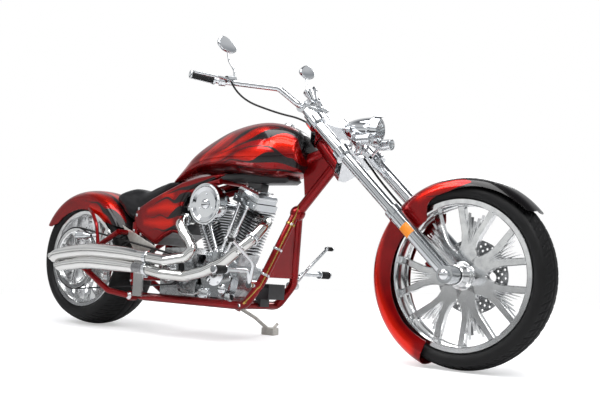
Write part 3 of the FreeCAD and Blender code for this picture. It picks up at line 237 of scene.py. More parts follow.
class FinishShop:
    """Makes each material once and hands it out."""

    def __init__(self, chassis: Matrix) -> None:
        """Start empty; chassis maps the upright datum, in millimetres, to the row frame."""
        self.made: dict[str, Material] = {}
        self.chassis = chassis

    def get(self, finish: Finish | FlamePaint | FinShadePaint, centre: Vector | None = None) -> Material:
        """Material of a finish.

        Args:
            finish: what the surface is.
            centre: point that a turned pattern goes round, in the row frame.

        Returns:
            The shared material.
        """
        key = finish.name if centre is None else f"{finish.name}_at_{round(centre.x * 1000)}"
        if key not in self.made:
            material = bpy.data.materials.new(key)
            material.use_nodes = True
            self.tree = material.node_tree
            self.add = partial(add, self.tree)
            if isinstance(finish, FlamePaint):
                self.flames(finish)
            elif isinstance(finish, FinShadePaint):
                self.fins(finish)
            else:
                self.plain(finish, centre)
            self.made[key] = material
        return self.made[key]

    def surface(self, finish: Finish, links: dict[str, Node]) -> None:
        """Set the surface shader to the finish's own constants and to what drives it.

        Args:
            finish: what the surface is.
            links: shader socket to the node that drives it.
        """
        # pores and dust take half of a bare surface's shine; under lacquer the coat alone shines
        shine = {Grain.MOULDED: 0.22, Grain.HIDE: 0.22, Grain.ORANGE_PEEL: 0.1}.get(finish.grain, 0.5)
        shader = self.tree.nodes["Principled BSDF"]
        for socket, value in (("Metallic", finish.metallic), ("Roughness", finish.roughness),
                              ("IOR", finish.ior), ("Coat Weight", finish.coat), ("Coat Roughness", 0.04),
                              ("Transmission Weight", finish.transmission), ("Specular IOR Level", shine)):
            shader.inputs[socket].default_value = value
        for socket, node in links.items():
            self.tree.links.new(next(output for output in node.outputs if output.enabled),
                                shader.inputs[socket])

    def plain(self, finish: Finish, centre: Vector | None) -> None:
        """Nodes of a finish in one colour pair.

        Args:
            finish: what the surface is.
            centre: point that a turned pattern goes round.
        """
        place = self.add("TexCoord").outputs["Object"]
        drift = self.add("TexNoise", {"Vector": place, "Scale": 1000 / (finish.pitch_mm * 14), "Detail": 3.0})
        share = self.add("MapRange", (drift, 0.35, 0.75))
        tone = self.add("Mix", {0: share, **finish.pair}, data_type="RGBA")
        wear = self.add("MapRange", (drift, 0.3, 0.8, finish.roughness * 0.85, finish.roughness * 1.2))
        bump = self.add("Bump", {"Height": self.relief(finish, place, centre),
                                 "Strength": min(finish.bump * 4, 1.0),
                                 "Distance": finish.pitch_mm * finish.bump / 1000})
        self.surface(finish, {"Base Color": tone, "Roughness": wear, "Normal": bump})

    def relief(self, finish: Finish, place: NodeSocket, centre: Vector | None) -> Node:
        """Height of the fine relief that the making leaves.

        Args:
            finish: what the surface is.
            place: coordinates, in metres.
            centre: point that a turned pattern goes round.

        Returns:
            The node that gives the height.
        """
        scale = 1000 / finish.pitch_mm
        if finish.grain is Grain.TURNED and centre is not None:
            moved = self.add("Mapping", {"Vector": place, "Location": tuple(-centre)})
            reach = self.add("VectorMath", (moved,), operation="LENGTH")
            turns = self.add("Math", (reach, 2 * math.pi * scale), operation="MULTIPLY")
            return self.add("Math", (turns,), operation="SINE")
        if finish.grain is Grain.HIDE:
            cells = self.add("TexVoronoi", {"Vector": place, "Scale": scale}, feature="DISTANCE_TO_EDGE")
            folds = self.add("TexNoise", {"Vector": place, "Scale": scale / 12, "Detail": 2.0})
            return self.add("Math", (cells, folds), operation="ADD")
        if finish.grain is Grain.BRUSHED:
            drawn = self.add("Mapping", {"Vector": place, "Scale": (0.04, 1.0, 1.0)})
            return self.add("TexNoise", {"Vector": drawn, "Scale": scale})
        if finish.grain is Grain.CLEAR:
            return self.add("TexVoronoi", {"Vector": place, "Scale": scale})
        return self.add("TexNoise", {"Vector": place, "Scale": scale, "Detail": 2.0})

    def fins(self, paint: FinShadePaint) -> None:
        """Nodes of the barrels: bright metal only where a point lies on the outside of the fins, and a dark
        coat of painted shade everywhere between them.

        Args:
            paint: its finishes and the fins' reach.
        """
        place = self.add("TexCoord").outputs["Object"]
        origin, rotation, scale = self.chassis.inverted().decompose()
        upright = self.add("Mapping", {
            "Vector": place, "Location": tuple(origin - Vector((CRANK[0], 0, CRANK[1]))),
            "Rotation": tuple(rotation.to_euler()), "Scale": tuple(scale)})
        # folded at the crank, both banks lean the same way
        folded = self.add("VectorMath", (upright,), operation="ABSOLUTE")
        lean = math.radians(BANK_ANGLE)
        across = self.add("VectorMath", (folded, (math.cos(lean), 0, -math.sin(lean))),
                          operation="DOT_PRODUCT")
        span = self.add("Math", (across,), operation="ABSOLUTE")
        along_fin = self.add("Math", (span, paint.reach), operation="SUBTRACT")
        width = self.add("SeparateXYZ", (folded,)).outputs["Y"]
        beside = self.add("Math", (width, paint.side), operation="SUBTRACT")
        outer = self.add("Math", (along_fin, beside), operation="MAXIMUM")
        # painted shade: every point inside the fins' outer edge takes the dark coat, as the shade between the
        # fins
        bright = self.add("MapRange", (outer, -0.3, 0.3))
        grit = self.add("TexNoise", {"Vector": place, "Scale": 1000 / paint.ground.pitch_mm, "Detail": 2.0})
        coat, metal = (self.add("Mix", {0: grit, **finish.pair}, data_type="RGBA")
                       for finish in (paint.ground, paint.edge))
        body = self.add("Mix", {0: bright, 6: coat, 7: metal}, data_type="RGBA")
        rough = self.add("MapRange", (bright, 0.0, 1.0, paint.ground.roughness, paint.edge.roughness))
        bump = self.add("Bump", {"Height": grit, "Strength": 0.2, "Distance": 0.0001})
        self.surface(paint.ground, {"Base Color": body, "Metallic": bright, "Roughness": rough,
                                    "Normal": bump})

    def flames(self, paint: FlamePaint) -> None:
        """Nodes of the flame paint: the piece's own field says how far each point lies inside a lick, and a
        second field says how strong the painted highlight of brighter red is.

        Args:
            paint: its colours.
        """
        place = self.add("TexCoord").outputs["Object"]
        depth = self.add("Attribute", attribute_name="lick").outputs["Fac"]
        glow = self.add("Attribute", attribute_name="glow").outputs["Fac"]
        drift = self.add("TexNoise", {"Vector": place, "Scale": 1000 / paint.cloud_mm, "Detail": 4.0})
        flake = self.add("TexVoronoi", {"Vector": place, "Scale": 1000 / paint.flake_mm}).outputs["Color"]
        share = self.add("MapRange", (drift, 0.35, 0.7))
        red = self.add("Mix", {0: share, **paint.ground.pair}, data_type="RGBA")
        # painted highlight: the red turns orange-red where the glow field is strong, standing in for light
        lit = self.add("Mix", {0: glow, 6: red, 7: linear(paint.glow)}, data_type="RGBA")
        inner = self.add("MapRange", (depth, 4.0, 26.0))
        dark = self.add("Mix", {0: inner, 6: linear(paint.smoke), 7: linear(paint.lick)}, data_type="RGBA")
        edge = self.add("MapRange", (depth, -0.9, 0.9))
        body = self.add("Mix", {0: edge, 6: lit, 7: dark}, data_type="RGBA")
        sparkle = self.add("Mix", {0: 0.08, 6: body, 7: flake}, data_type="RGBA", blend_type="OVERLAY")
        metal = self.add("MapRange", (edge, 0.0, 1.0, paint.ground.metallic, 0.1))
        peel = self.add("TexNoise", {"Vector": place, "Scale": 1000 / paint.peel_mm})
        bump = self.add("Bump", {"Height": peel, "Strength": 0.04, "Distance": 0.0002})
        self.surface(paint.ground, {"Base Color": sparkle, "Metallic": metal, "Normal": bump})


# ---- places
def turn(axis: str, angle: float) -> Matrix:
    """Rotation by degrees about X, Y or Z."""
    return Matrix.Rotation(math.radians(angle), 4, axis)


def shift(x: float = 0.0, y: float = 0.0, z: float = 0.0) -> Matrix:
    """Move by millimetres."""
    return Matrix.Translation((x, y, z))


def aimed(at: Row | Vector, way: Row | Vector) -> Matrix:
    """Frame at a place whose Y runs along a direction."""
    return Matrix.Translation(Vector(at)) @ Vector(way).to_track_quat("Y", "Z").to_matrix().to_4x4()


@dataclass
class Datum:
    """The upright chassis datum and the frames that hang on it; each maps millimetres to the row frame."""

    joints: dict[str, dict]
    lean: float = -4.0
    pitch: float = 0.0189
    axle_height: float = 333.0
    head_at: Row = (1448.0, 0.0, 813.0)
    rake: float = 42.0
    tree_rake: float = 4.5
    tree_offset: float = 85.0
    fork_length: float = 762.0
    leg_spread: float = 117.0
    bar_height: float = 232.3
    riser_offset: float = 48.0
    chassis: Matrix = field(init=False)

    def __post_init__(self) -> None:
        """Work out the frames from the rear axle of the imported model."""
        lean = turn("X", self.lean) @ turn("Y", self.pitch)
        axle = Vector(self.joints["rear_wheel_spin"]["pos_m"])
        origin = axle - lean.to_3x3() @ Vector((0, 0, self.axle_height / 1000))
        self.chassis = Matrix.Translation(origin) @ lean @ Matrix.Scale(0.001, 4)
        self.head_local = shift(*self.head_at) @ turn("Y", -self.rake)
        self.leg_local = self.head_local @ shift(self.tree_offset) @ turn("Y", -self.tree_rake)
        self.head = self.chassis @ self.head_local
        self.leg = self.chassis @ self.leg_local
        self.rear = self.chassis @ shift(0, 0, self.axle_height)
        self.front = self.chassis @ Matrix.Translation(self.on_leg(0, 0, -self.fork_length))
        self.clamp = self.on_head(self.riser_offset, 0, self.bar_height)

    def on_head(self, x: float, y: float, z: float) -> Vector:
        """Point of the steering head's frame, in the chassis datum."""
        return self.head_local @ Vector((x, y, z))

    def on_leg(self, x: float, y: float, z: float) -> Vector:
        """Point of the fork legs' frame, in the chassis datum."""
        return self.leg_local @ Vector((x, y, z))

    def bar(self, side: int) -> list[Vector]:
        """Grip's end, first bend and second bend of the bar on one side, in the chassis datum."""
        ends = ((-316, 420, 98), (-267, 310, 88), (-73, 140, 70))
        return [self.clamp + Vector((x, y * side, z)) for x, y, z in ends]


# ---- mesh helpers
def linked(name: str, data: bpy.types.ID) -> Object:
    """Put data into the scene as a new object.

    Args:
        name: name of the object.
        data: its mesh, curve, lamp or camera.

    Returns:
        The object.
    """
    made = bpy.data.objects.new(name, data)
    bpy.context.scene.collection.objects.link(made)
    return made


@contextmanager
def opened(made: Object) -> Iterator[bmesh.types.BMesh]:
    """Open a piece's mesh for editing and write it back.

    Args:
        made: the piece.

    Yields:
        The mesh to edit.
    """
    work = bmesh.new()
    work.from_mesh(made.data)
    yield work
    work.to_mesh(made.data)
    work.free()


def mesh_of(points: np.ndarray | list, faces: list, place: Matrix, name: str = "part") -> Object:
    """Object whose place is in its mesh.

    Args:
        points: corners in the local frame, in millimetres.
        faces: corner numbers of each face.
        place: map to the row frame.
        name: name of the piece.

    Returns:
        The linked object.
    """
    mesh = bpy.data.meshes.new(name)
    mesh.from_pydata([tuple(place @ Vector(p)) for p in points], [], faces)
    mesh.validate()
    mesh.polygons.foreach_set("use_smooth", [True] * len(mesh.polygons))
    return linked(name, mesh)


def points_of(made: Object) -> np.ndarray:
    """Read the corners of a piece's mesh.

    Args:
        made: the piece.

    Returns:
        One corner in each row, in metres.
    """
    at = np.empty(len(made.data.vertices) * 3)
    made.data.vertices.foreach_get("co", at)
    return at.reshape(-1, 3)


def tidy(made: Object) -> Object:
    """Merge doubles and turn the faces outwards.

    Args:
        made: the piece.

    Returns:
        The piece.
    """
    with opened(made) as work:
        bmesh.ops.remove_doubles(work, verts=work.verts, dist=1e-6)
        bmesh.ops.recalc_face_normals(work, faces=work.faces)
    return made


def crease(made: Object, angle: float = 32.0) -> Object:
    """Shade smooth, with sharp edges past an angle.

    Args:
        made: the piece.
        angle: the angle, in degrees.

    Returns:
        The piece.
    """
    with opened(made) as work:
        for edge in work.edges:
            edge.smooth = len(edge.link_faces) == 2 and edge.calc_face_angle(0) < math.radians(angle)
        for face in work.faces:
            face.smooth = True
    return made


def bake(made: Object) -> Object:
    """Turn a piece's modifiers into plain mesh.

    Args:
        made: the piece.

    Returns:
        The piece.
    """
    depsgraph = bpy.context.evaluated_depsgraph_get()
    mesh = bpy.data.meshes.new_from_object(made.evaluated_get(depsgraph), depsgraph=depsgraph)
    made.modifiers.clear()
    made.data = mesh
    return made


def grid_faces(rows: int, columns: int, wrap_rows: bool = False, wrap_columns: bool = False) -> list:
    """Quads of a grid of points laid out row after row.

    Args:
        rows: number of rows.
        columns: points in each row.
        wrap_rows: whether the last row joins the first.
        wrap_columns: whether the last column joins the first.

    Returns:
        Corner numbers of each quad.
    """
    faces = []
    for i in range(rows if wrap_rows else rows - 1):
        for j in range(columns if wrap_columns else columns - 1):
            a, b = i * columns, (i + 1) % rows * columns
            k = (j + 1) % columns
            faces.append((a + j, b + j, b + k, a + k))
    return faces


def tunnel_faces(rows: int, columns: int) -> list:
    """Quads between closed rings of points, with a lid on the first and on the last ring."""
    lids = (range(columns), range((rows - 1) * columns, rows * columns))
    return [*grid_faces(rows, columns, False, True), *(tuple(lid) for lid in lids)]


def mirrored(half: list | Table) -> list:
    """Closed section from its half above Y = 0."""
    return [*half, *((r, -h) for r, h in reversed(half) if h)]


def lathe(profile: Table, place: Matrix, steps: int = 96, closed: bool = True, start: float = 0.0,
          sweep: float = 360.0) -> Object:
    """Turned part: a profile of (radius, distance along Y) carried round Y.

    Args:
        profile: corners of the section.
        place: map to the row frame.
        steps: facets round.
        closed: whether the section closes on itself.
        start: first angle, in degrees.
        sweep: how far it goes round.

    Returns:
        The part.
    """
    whole = sweep == 360
    angles = [math.radians(start + sweep * i / steps) for i in range(steps if whole else steps + 1)]
    points = [(r * math.cos(a), h, r * math.sin(a)) for a in angles for r, h in profile]
    count = len(profile)
    faces = grid_faces(steps, count, True, closed) if whole else tunnel_faces(steps + 1, count)
    return crease(tidy(mesh_of(points, faces, place)))


def spline(points: list | Table, steps: int = 8) -> np.ndarray:
    """Smooth line through points, the same number of steps in each span.

    Args:
        points: places it passes, of any dimension.
        steps: steps in each span.

    Returns:
        Points of the line, one in each row.
    """
    p = np.array([points[0], *points, points[-1]], dtype=float)
    out = []
    for i in range(1, len(p) - 2):
        a, b, c, d = p[i - 1], p[i], p[i + 1], p[i + 2]
        for t in np.linspace(0, 1, steps, endpoint=False):
            out.append(0.5 * (2 * b + (c - a) * t + (2 * a - 5 * b + 4 * c - d) * t ** 2
                              + (3 * b - a - 3 * c + d) * t ** 3))
    out.append(p[-2])
    return np.array(out)


def loop_line(corners: Table, steps: int = 6) -> Table:
    """Smooth closed line through corners.

    Args:
        corners: the (u, v) corners.
        steps: steps in each span.

    Returns:
        Points of the line.
    """
    run = [*corners[-2:], *corners, *corners[:3]]
    line = spline(run, steps)[2 * steps:(len(corners) + 2) * steps]
    return tuple((float(a), float(b)) for a, b in line)


def distance_along(line: np.ndarray) -> np.ndarray:
    """Distance of each point of a line from its first."""
    return np.concatenate(([0], np.cumsum(np.linalg.norm(np.diff(line, axis=0), axis=1))))


def tube(line: np.ndarray | list, radius: float | list, place: Matrix, sides: int = 14) -> Object:
    """Round bar along a line, closed at both ends.

    Args:
        line: its centre, in millimetres.
        radius: one radius, or one for each point.
        place: map to the row frame.
        sides: facets round.

    Returns:
        The part.
    """
    line = np.array(line, dtype=float)
    radii = np.full(len(line), radius) if np.isscalar(radius) else np.array(radius)
    ahead = np.gradient(line, axis=0)
    ahead /= np.linalg.norm(ahead, axis=1)[:, None]
    side = np.cross(ahead[0], (0, 0, 1) if abs(ahead[0][2]) < 0.9 else (1, 0, 0))
    points = []
    for at, way, r in zip(line, ahead, radii):
        side = side - way * side.dot(way)
        side /= np.linalg.norm(side)
        up = np.cross(way, side)
        for k in range(sides):
            angle = 2 * math.pi * k / sides
            points.append(at + r * (math.cos(angle) * side + math.sin(angle) * up))
    return crease(tidy(mesh_of(points, tunnel_faces(len(line), sides), place)), 50)


def slab(outline: Table, middle: float, thickness: float, place: Matrix, edge: float = 0.0,
         segments: int = 3) -> Object:
    """Plate cut to an (x, z) outline, with broken edges.

    Args:
        outline: corners, in millimetres.
        middle: Y of its middle.
        thickness: its thickness.
        place: map to the row frame.
        edge: width of the broken edges.
        segments: facets across them.

    Returns:
        The part.
    """
    points = [(p[0], middle + way * thickness / 2, p[1]) for way in (-1, 1) for p in outline]
    made = tidy(mesh_of(points, tunnel_faces(2, len(outline)), place))
    if not edge:
        return crease(made)
    bevel = made.modifiers.new("edges", "BEVEL")
    bevel.width, bevel.segments = edge / 1000, segments
    bevel.limit_method, bevel.angle_limit = "ANGLE", math.radians(32)
    return crease(bake(made), 40)


def joined(name: str, parts: list[Object]) -> Object:
    """One object from several, with their finishes kept.

    Args:
        name: name of the new object.
        parts: the objects, which are used up.

    Returns:
        The new object.
    """
    work = bmesh.new()
    materials: list = []
    for part in parts:
        first = len(work.faces)
        work.from_mesh(part.data)
        work.faces.ensure_lookup_table()
        slots = [slot.material for slot in part.material_slots] or [None]
        for face in work.faces[first:]:
            material = slots[min(face.material_index, len(slots) - 1)]
            if material not in materials:
                materials.append(material)
            face.material_index = materials.index(material)
        bpy.data.objects.remove(part)
    mesh = bpy.data.meshes.new(name)
    work.to_mesh(mesh)
    work.free()
    for material in materials:
        mesh.materials.append(material)
    return linked(name, mesh)


# ---- flame fields
def lick_field(points: np.ndarray, licks: Strokes, soften: float = 5.0) -> np.ndarray:
    """Depth inside the dark licks, positive within, with rounded crotches where licks meet.

    Args:
        points: (u, v) of each corner, in millimetres.
        licks: tapered strokes, each a table of (u, v, half width).
        soften: radius of the crotches.

    Returns:
        Depth of each corner, in millimetres.
    """
    total = np.zeros(len(points))
    for lick in licks:
        line = spline(lick, 14)
        best = np.full(len(points), 1e3)
        for (u0, v0, w0), (u1, v1, w1) in zip(line, line[1:]):
            run = np.array((u1 - u0, v1 - v0))
            t = np.clip(((points - (u0, v0)) @ run) / max(run @ run, 1e-9), 0, 1)
            gap = np.linalg.norm(points - (np.array((u0, v0)) + t[:, None] * run), axis=1)
            best = np.minimum(best, gap - (w0 + t * (w1 - w0)))
        total += np.exp(-np.clip(best, -60, 60) / soften)
    return soften * np.log(np.maximum(total, 1e-12))


def paint_fields(made: Object, points: np.ndarray, licks: Strokes, lights: Strokes,
                 soften: float = 5.0, fade: float = 30.0) -> None:
    """Keep on each corner of a piece how deep it lies in a lick and how strong the painted highlight of
    brighter red is there.

    Args:
        made: the piece.
        points: (u, v) of each corner, in millimetres.
        licks: strokes of the dark licks.
        lights: strokes of the painted highlight in brighter red.
        soften: radius of the crotches between licks.
        fade: width over which the painted highlight fades out.
    """
    # painted highlight: the shine field says where the red is drawn brighter
    shine = lick_field(points, lights, 8.0)
    for name, values in (("lick", lick_field(points, licks, soften)),
                         ("glow", np.clip((shine + 16) / fade, 0, 1))):
        made.data.attributes.new(name, "FLOAT", "POINT").data.foreach_set("value", values.astype(float))


# ---- repeated small parts, by geometry nodes
class Head(Enum):
    """Shape of a small repeated part, as the number of its flats."""

    HEX = 6
    SOCKET = 20


class Repeat:
    """Geometry nodes that set one seed part many times and give it its finish."""

    def __init__(self, name: str, values: dict[str, tuple[str, object]]) -> None:
        """Start the tree.

        Args:
            name: name of the tree.
            values: label of each input to its socket type and its value.
        """
        self.tree = bpy.data.node_groups.new(name, "GeometryNodeTree")
        for way in ("INPUT", "OUTPUT"):
            self.tree.interface.new_socket("Geometry", in_out=way, socket_type="NodeSocketGeometry")
        self.values = {}
        for label, (kind, value) in values.items():
            made = self.tree.interface.new_socket(label, in_out="INPUT", socket_type=f"NodeSocket{kind}")
            self.values[made.identifier] = value
        self.entry = add(self.tree, "NodeGroupInput").outputs

    def run(self, mesh: Mesh, points: object, seed: Node, way: object, angle: float) -> Object:
        """Finish the tree and run it.

        Args:
            mesh: what the tree starts from.
            points: places of the seed part.
            seed: the seed part.
            way: direction of its Z on each place.
            angle: sharp edges start past this angle, in degrees.

        Returns:
            One plain mesh.
        """
        tree = self.tree
        turned = add(tree, "FunctionNodeAlignRotationToVector", {"Vector": way}, axis="Z")
        placed = add(tree, "GeometryNodeInstanceOnPoints",
                     {"Points": points, "Instance": seed, "Rotation": turned})
        real = add(tree, "GeometryNodeRealizeInstances", (placed,))
        dressed = add(tree, "GeometryNodeSetMaterial", {"Geometry": real, "Material": self.entry["Material"]})
        add(tree, "NodeGroupOutput", (dressed,))
        made = linked(mesh.name, mesh)
        modifier = made.modifiers.new("repeat", "NODES")
        modifier.node_group = tree
        for identifier, value in self.values.items():
            modifier[identifier] = value
        return crease(bake(made), angle)


@dataclass
class SmallParts:
    """Screws and studs: a crowned seed part set on points, each turned to its own direction."""

    material: Material
    radius: float = 5.0
    height: float = 4.0
    flats: Head = Head.SOCKET
    dome: float = 0.72

    def build(self, spots: list[tuple[Vector, Vector]]) -> Object:
        """Set the parts on their spots.

        Args:
            spots: place and direction of each, in the row frame.

        Returns:
            One plain mesh.
        """
        mesh = bpy.data.meshes.new("small_parts")
        mesh.from_pydata([tuple(spot) for spot, _ in spots], [], [])
        aims = np.array([tuple(aim.normalized()) for _, aim in spots]).ravel()
        mesh.attributes.new("aim", "FLOAT_VECTOR", "POINT").data.foreach_set("vector", aims)
        nodes = Repeat("small_parts", {
            "Radius": ("Float", self.radius / 1000), "Height": ("Float", self.height / 1000),
            "Dome": ("Float", self.dome), "Flats": ("Int", self.flats.value),
            "Material": ("Material", self.material)})
        tree, entry = nodes.tree, nodes.entry
        shank = add(tree, "GeometryNodeMeshCylinder", {
            "Vertices": entry["Flats"], "Radius": entry["Radius"], "Depth": entry["Height"]},
            fill_type="NGON")
        crown = add(tree, "GeometryNodeMeshCone", {
            "Vertices": entry["Flats"], "Radius Bottom": entry["Radius"],
            "Radius Top": add(tree, "Math", (entry["Radius"], entry["Dome"]), operation="MULTIPLY"),
            "Depth": add(tree, "Math", (entry["Height"], 0.3), operation="MULTIPLY")}, fill_type="NGON")
        half = add(tree, "Math", (entry["Height"], 0.5), operation="MULTIPLY")
        raised = add(tree, "GeometryNodeTransform", {"Geometry": crown, "Translation": add(
            tree, "CombineXYZ", {"Z": half})})
        both = add(tree, "GeometryNodeJoinGeometry", (shank,))
        tree.links.new(raised.outputs[0], both.inputs[0])
        aim = add(tree, "GeometryNodeInputNamedAttribute", {"Name": "aim"}, data_type="FLOAT_VECTOR")
        return nodes.run(mesh, entry["Geometry"], both, aim, 40)


@dataclass
class RingRow:
    """A row of equal rings along a straight line, such as the ribs of a grip."""

    material: Material
    count: int = 9
    radius: float = 17.0
    thickness: float = 4.0

    def build(self, start: Vector, end: Vector) -> Object:
        """Set the rings from start to end.

        Args:
            start: first ring's centre, in the row frame.
            end: last ring's centre.

        Returns:
            One plain mesh.
        """
        nodes = Repeat("ring_row", {
            "Start": ("Vector", tuple(start)), "End": ("Vector", tuple(end)), "Count": ("Int", self.count),
            "Radius": ("Float", self.radius / 1000), "Thickness": ("Float", self.thickness / 2000),
            "Material": ("Material", self.material)})
        tree, entry = nodes.tree, nodes.entry
        spots = add(tree, "GeometryNodeMeshLine", {"Count": entry["Count"], "Start Location": entry["Start"],
                                                   "Offset": entry["End"]}, mode="END_POINTS")
        hoop = add(tree, "GeometryNodeCurvePrimitiveCircle", {"Resolution": 28, "Radius": entry["Radius"]})
        section = add(tree, "GeometryNodeCurvePrimitiveCircle",
                      {"Resolution": 8, "Radius": entry["Thickness"]})
        ring = add(tree, "GeometryNodeCurveToMesh", {"Curve": hoop, "Profile Curve": section})
        run = add(tree, "VectorMath", (entry["End"], entry["Start"]), operation="SUBTRACT")
        return nodes.run(bpy.data.meshes.new("ring_row"), spots, ring, run, 60)


# ---- sub-assemblies
class End(Enum):
    """End of the machine that a wheel or a fender belongs to."""

    FRONT = "front"
    REAR = "rear"


@dataclass
class Assembly:
    """What every sub-assembly shares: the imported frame, the datum, the finishes and the parts in hand."""

    frame: dict
    datum: Datum
    shop: FinishShop
    parts: list[Object] = field(default_factory=list, init=False)

    @property
    def base(self) -> Matrix:
        """Map of the upright datum to the row frame."""
        return self.datum.chassis

    def aim(self, at: Row | Vector, way: Row | Vector) -> Matrix:
        """Frame at a place of the datum whose Y runs along a direction."""
        return self.base @ aimed(at, way)

    def fit(self, made: Object, body: str, slot: str, *nodes: str) -> Object:
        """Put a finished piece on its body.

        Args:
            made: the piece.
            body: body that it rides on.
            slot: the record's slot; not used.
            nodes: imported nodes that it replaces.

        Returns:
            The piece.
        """
        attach(made, body)
        if nodes:
            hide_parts(*nodes)
        log.info("piece %s on %s, %d faces", made.name, body, len(made.data.polygons))
        return made

    def clad(self, made: Object, finish: Finish | FlamePaint, centre: Vector | None = None) -> Object:
        """Give a bare piece its finish."""
        made.data.materials.append(self.shop.get(finish, centre))
        return made

    def keep(self, made: Object, finish: Finish = CHROME, centre: Vector | None = None) -> None:
        """Give a loose part its finish and keep it for the piece in hand."""
        self.parts.append(self.clad(made, finish, centre))

    def screws(self, spots: list[tuple[Vector, Vector]], radius: float, height: float,
               flats: Head = Head.SOCKET, dome: float = 0.72, finish: Finish = CHROME) -> None:
        """Set screws or studs on spots and keep them for the piece in hand."""
        self.parts.append(SmallParts(self.shop.get(finish), radius, height, flats, dome).build(spots))

    def close(self, name: str, body: str = "chassis", slot: str = "chrome", *nodes: str) -> Object:
        """Join the kept parts into one piece and put it on its body."""
        parts, self.parts = self.parts, []
        return self.fit(joined(name, parts), body, slot, *nodes)

    def spots(self, places: list[Row], aim: Row, place: Matrix | None = None) -> list[tuple[Vector, Vector]]:
        """Places with one direction, mapped from the datum or from another frame to the row frame."""
        place = place or self.base
        return [(place @ Vector(p), place.to_3x3() @ Vector(aim)) for p in places]


def circle(count: int, radius: float, across: float, start: float = 0.0,
           middle: Row = (0.0, 0.0)) -> list[Row]:
    """Places on a circle round Y.

    Args:
        count: how many.
        radius: radius of the circle.
        across: their Y.
        start: angle of the first, in degrees.
        middle: the circle's own (x, z).

    Returns:
        The places.
    """
    turns = [math.radians(start) + 2 * math.pi * i / count for i in range(count)]
    return [(middle[0] + radius * math.cos(a), across, middle[1] + radius * math.sin(a)) for a in turns]


# One fan of the wheels, from the hub out: share of the way to the rim, share of the rim's radius across
FAN: Table = (
    (0.00, 0.140), (0.19, 0.146), (0.26, 0.122), (0.36, 0.118), (0.50, 0.142), (1.00, 0.296), (1.00, 0.200),
    (0.90, 0.176), (0.64, 0.084), (0.84, 0.104), (0.50, 0.040), (0.78, 0.050), (0.46, 0.012), (0.72, 0.0))


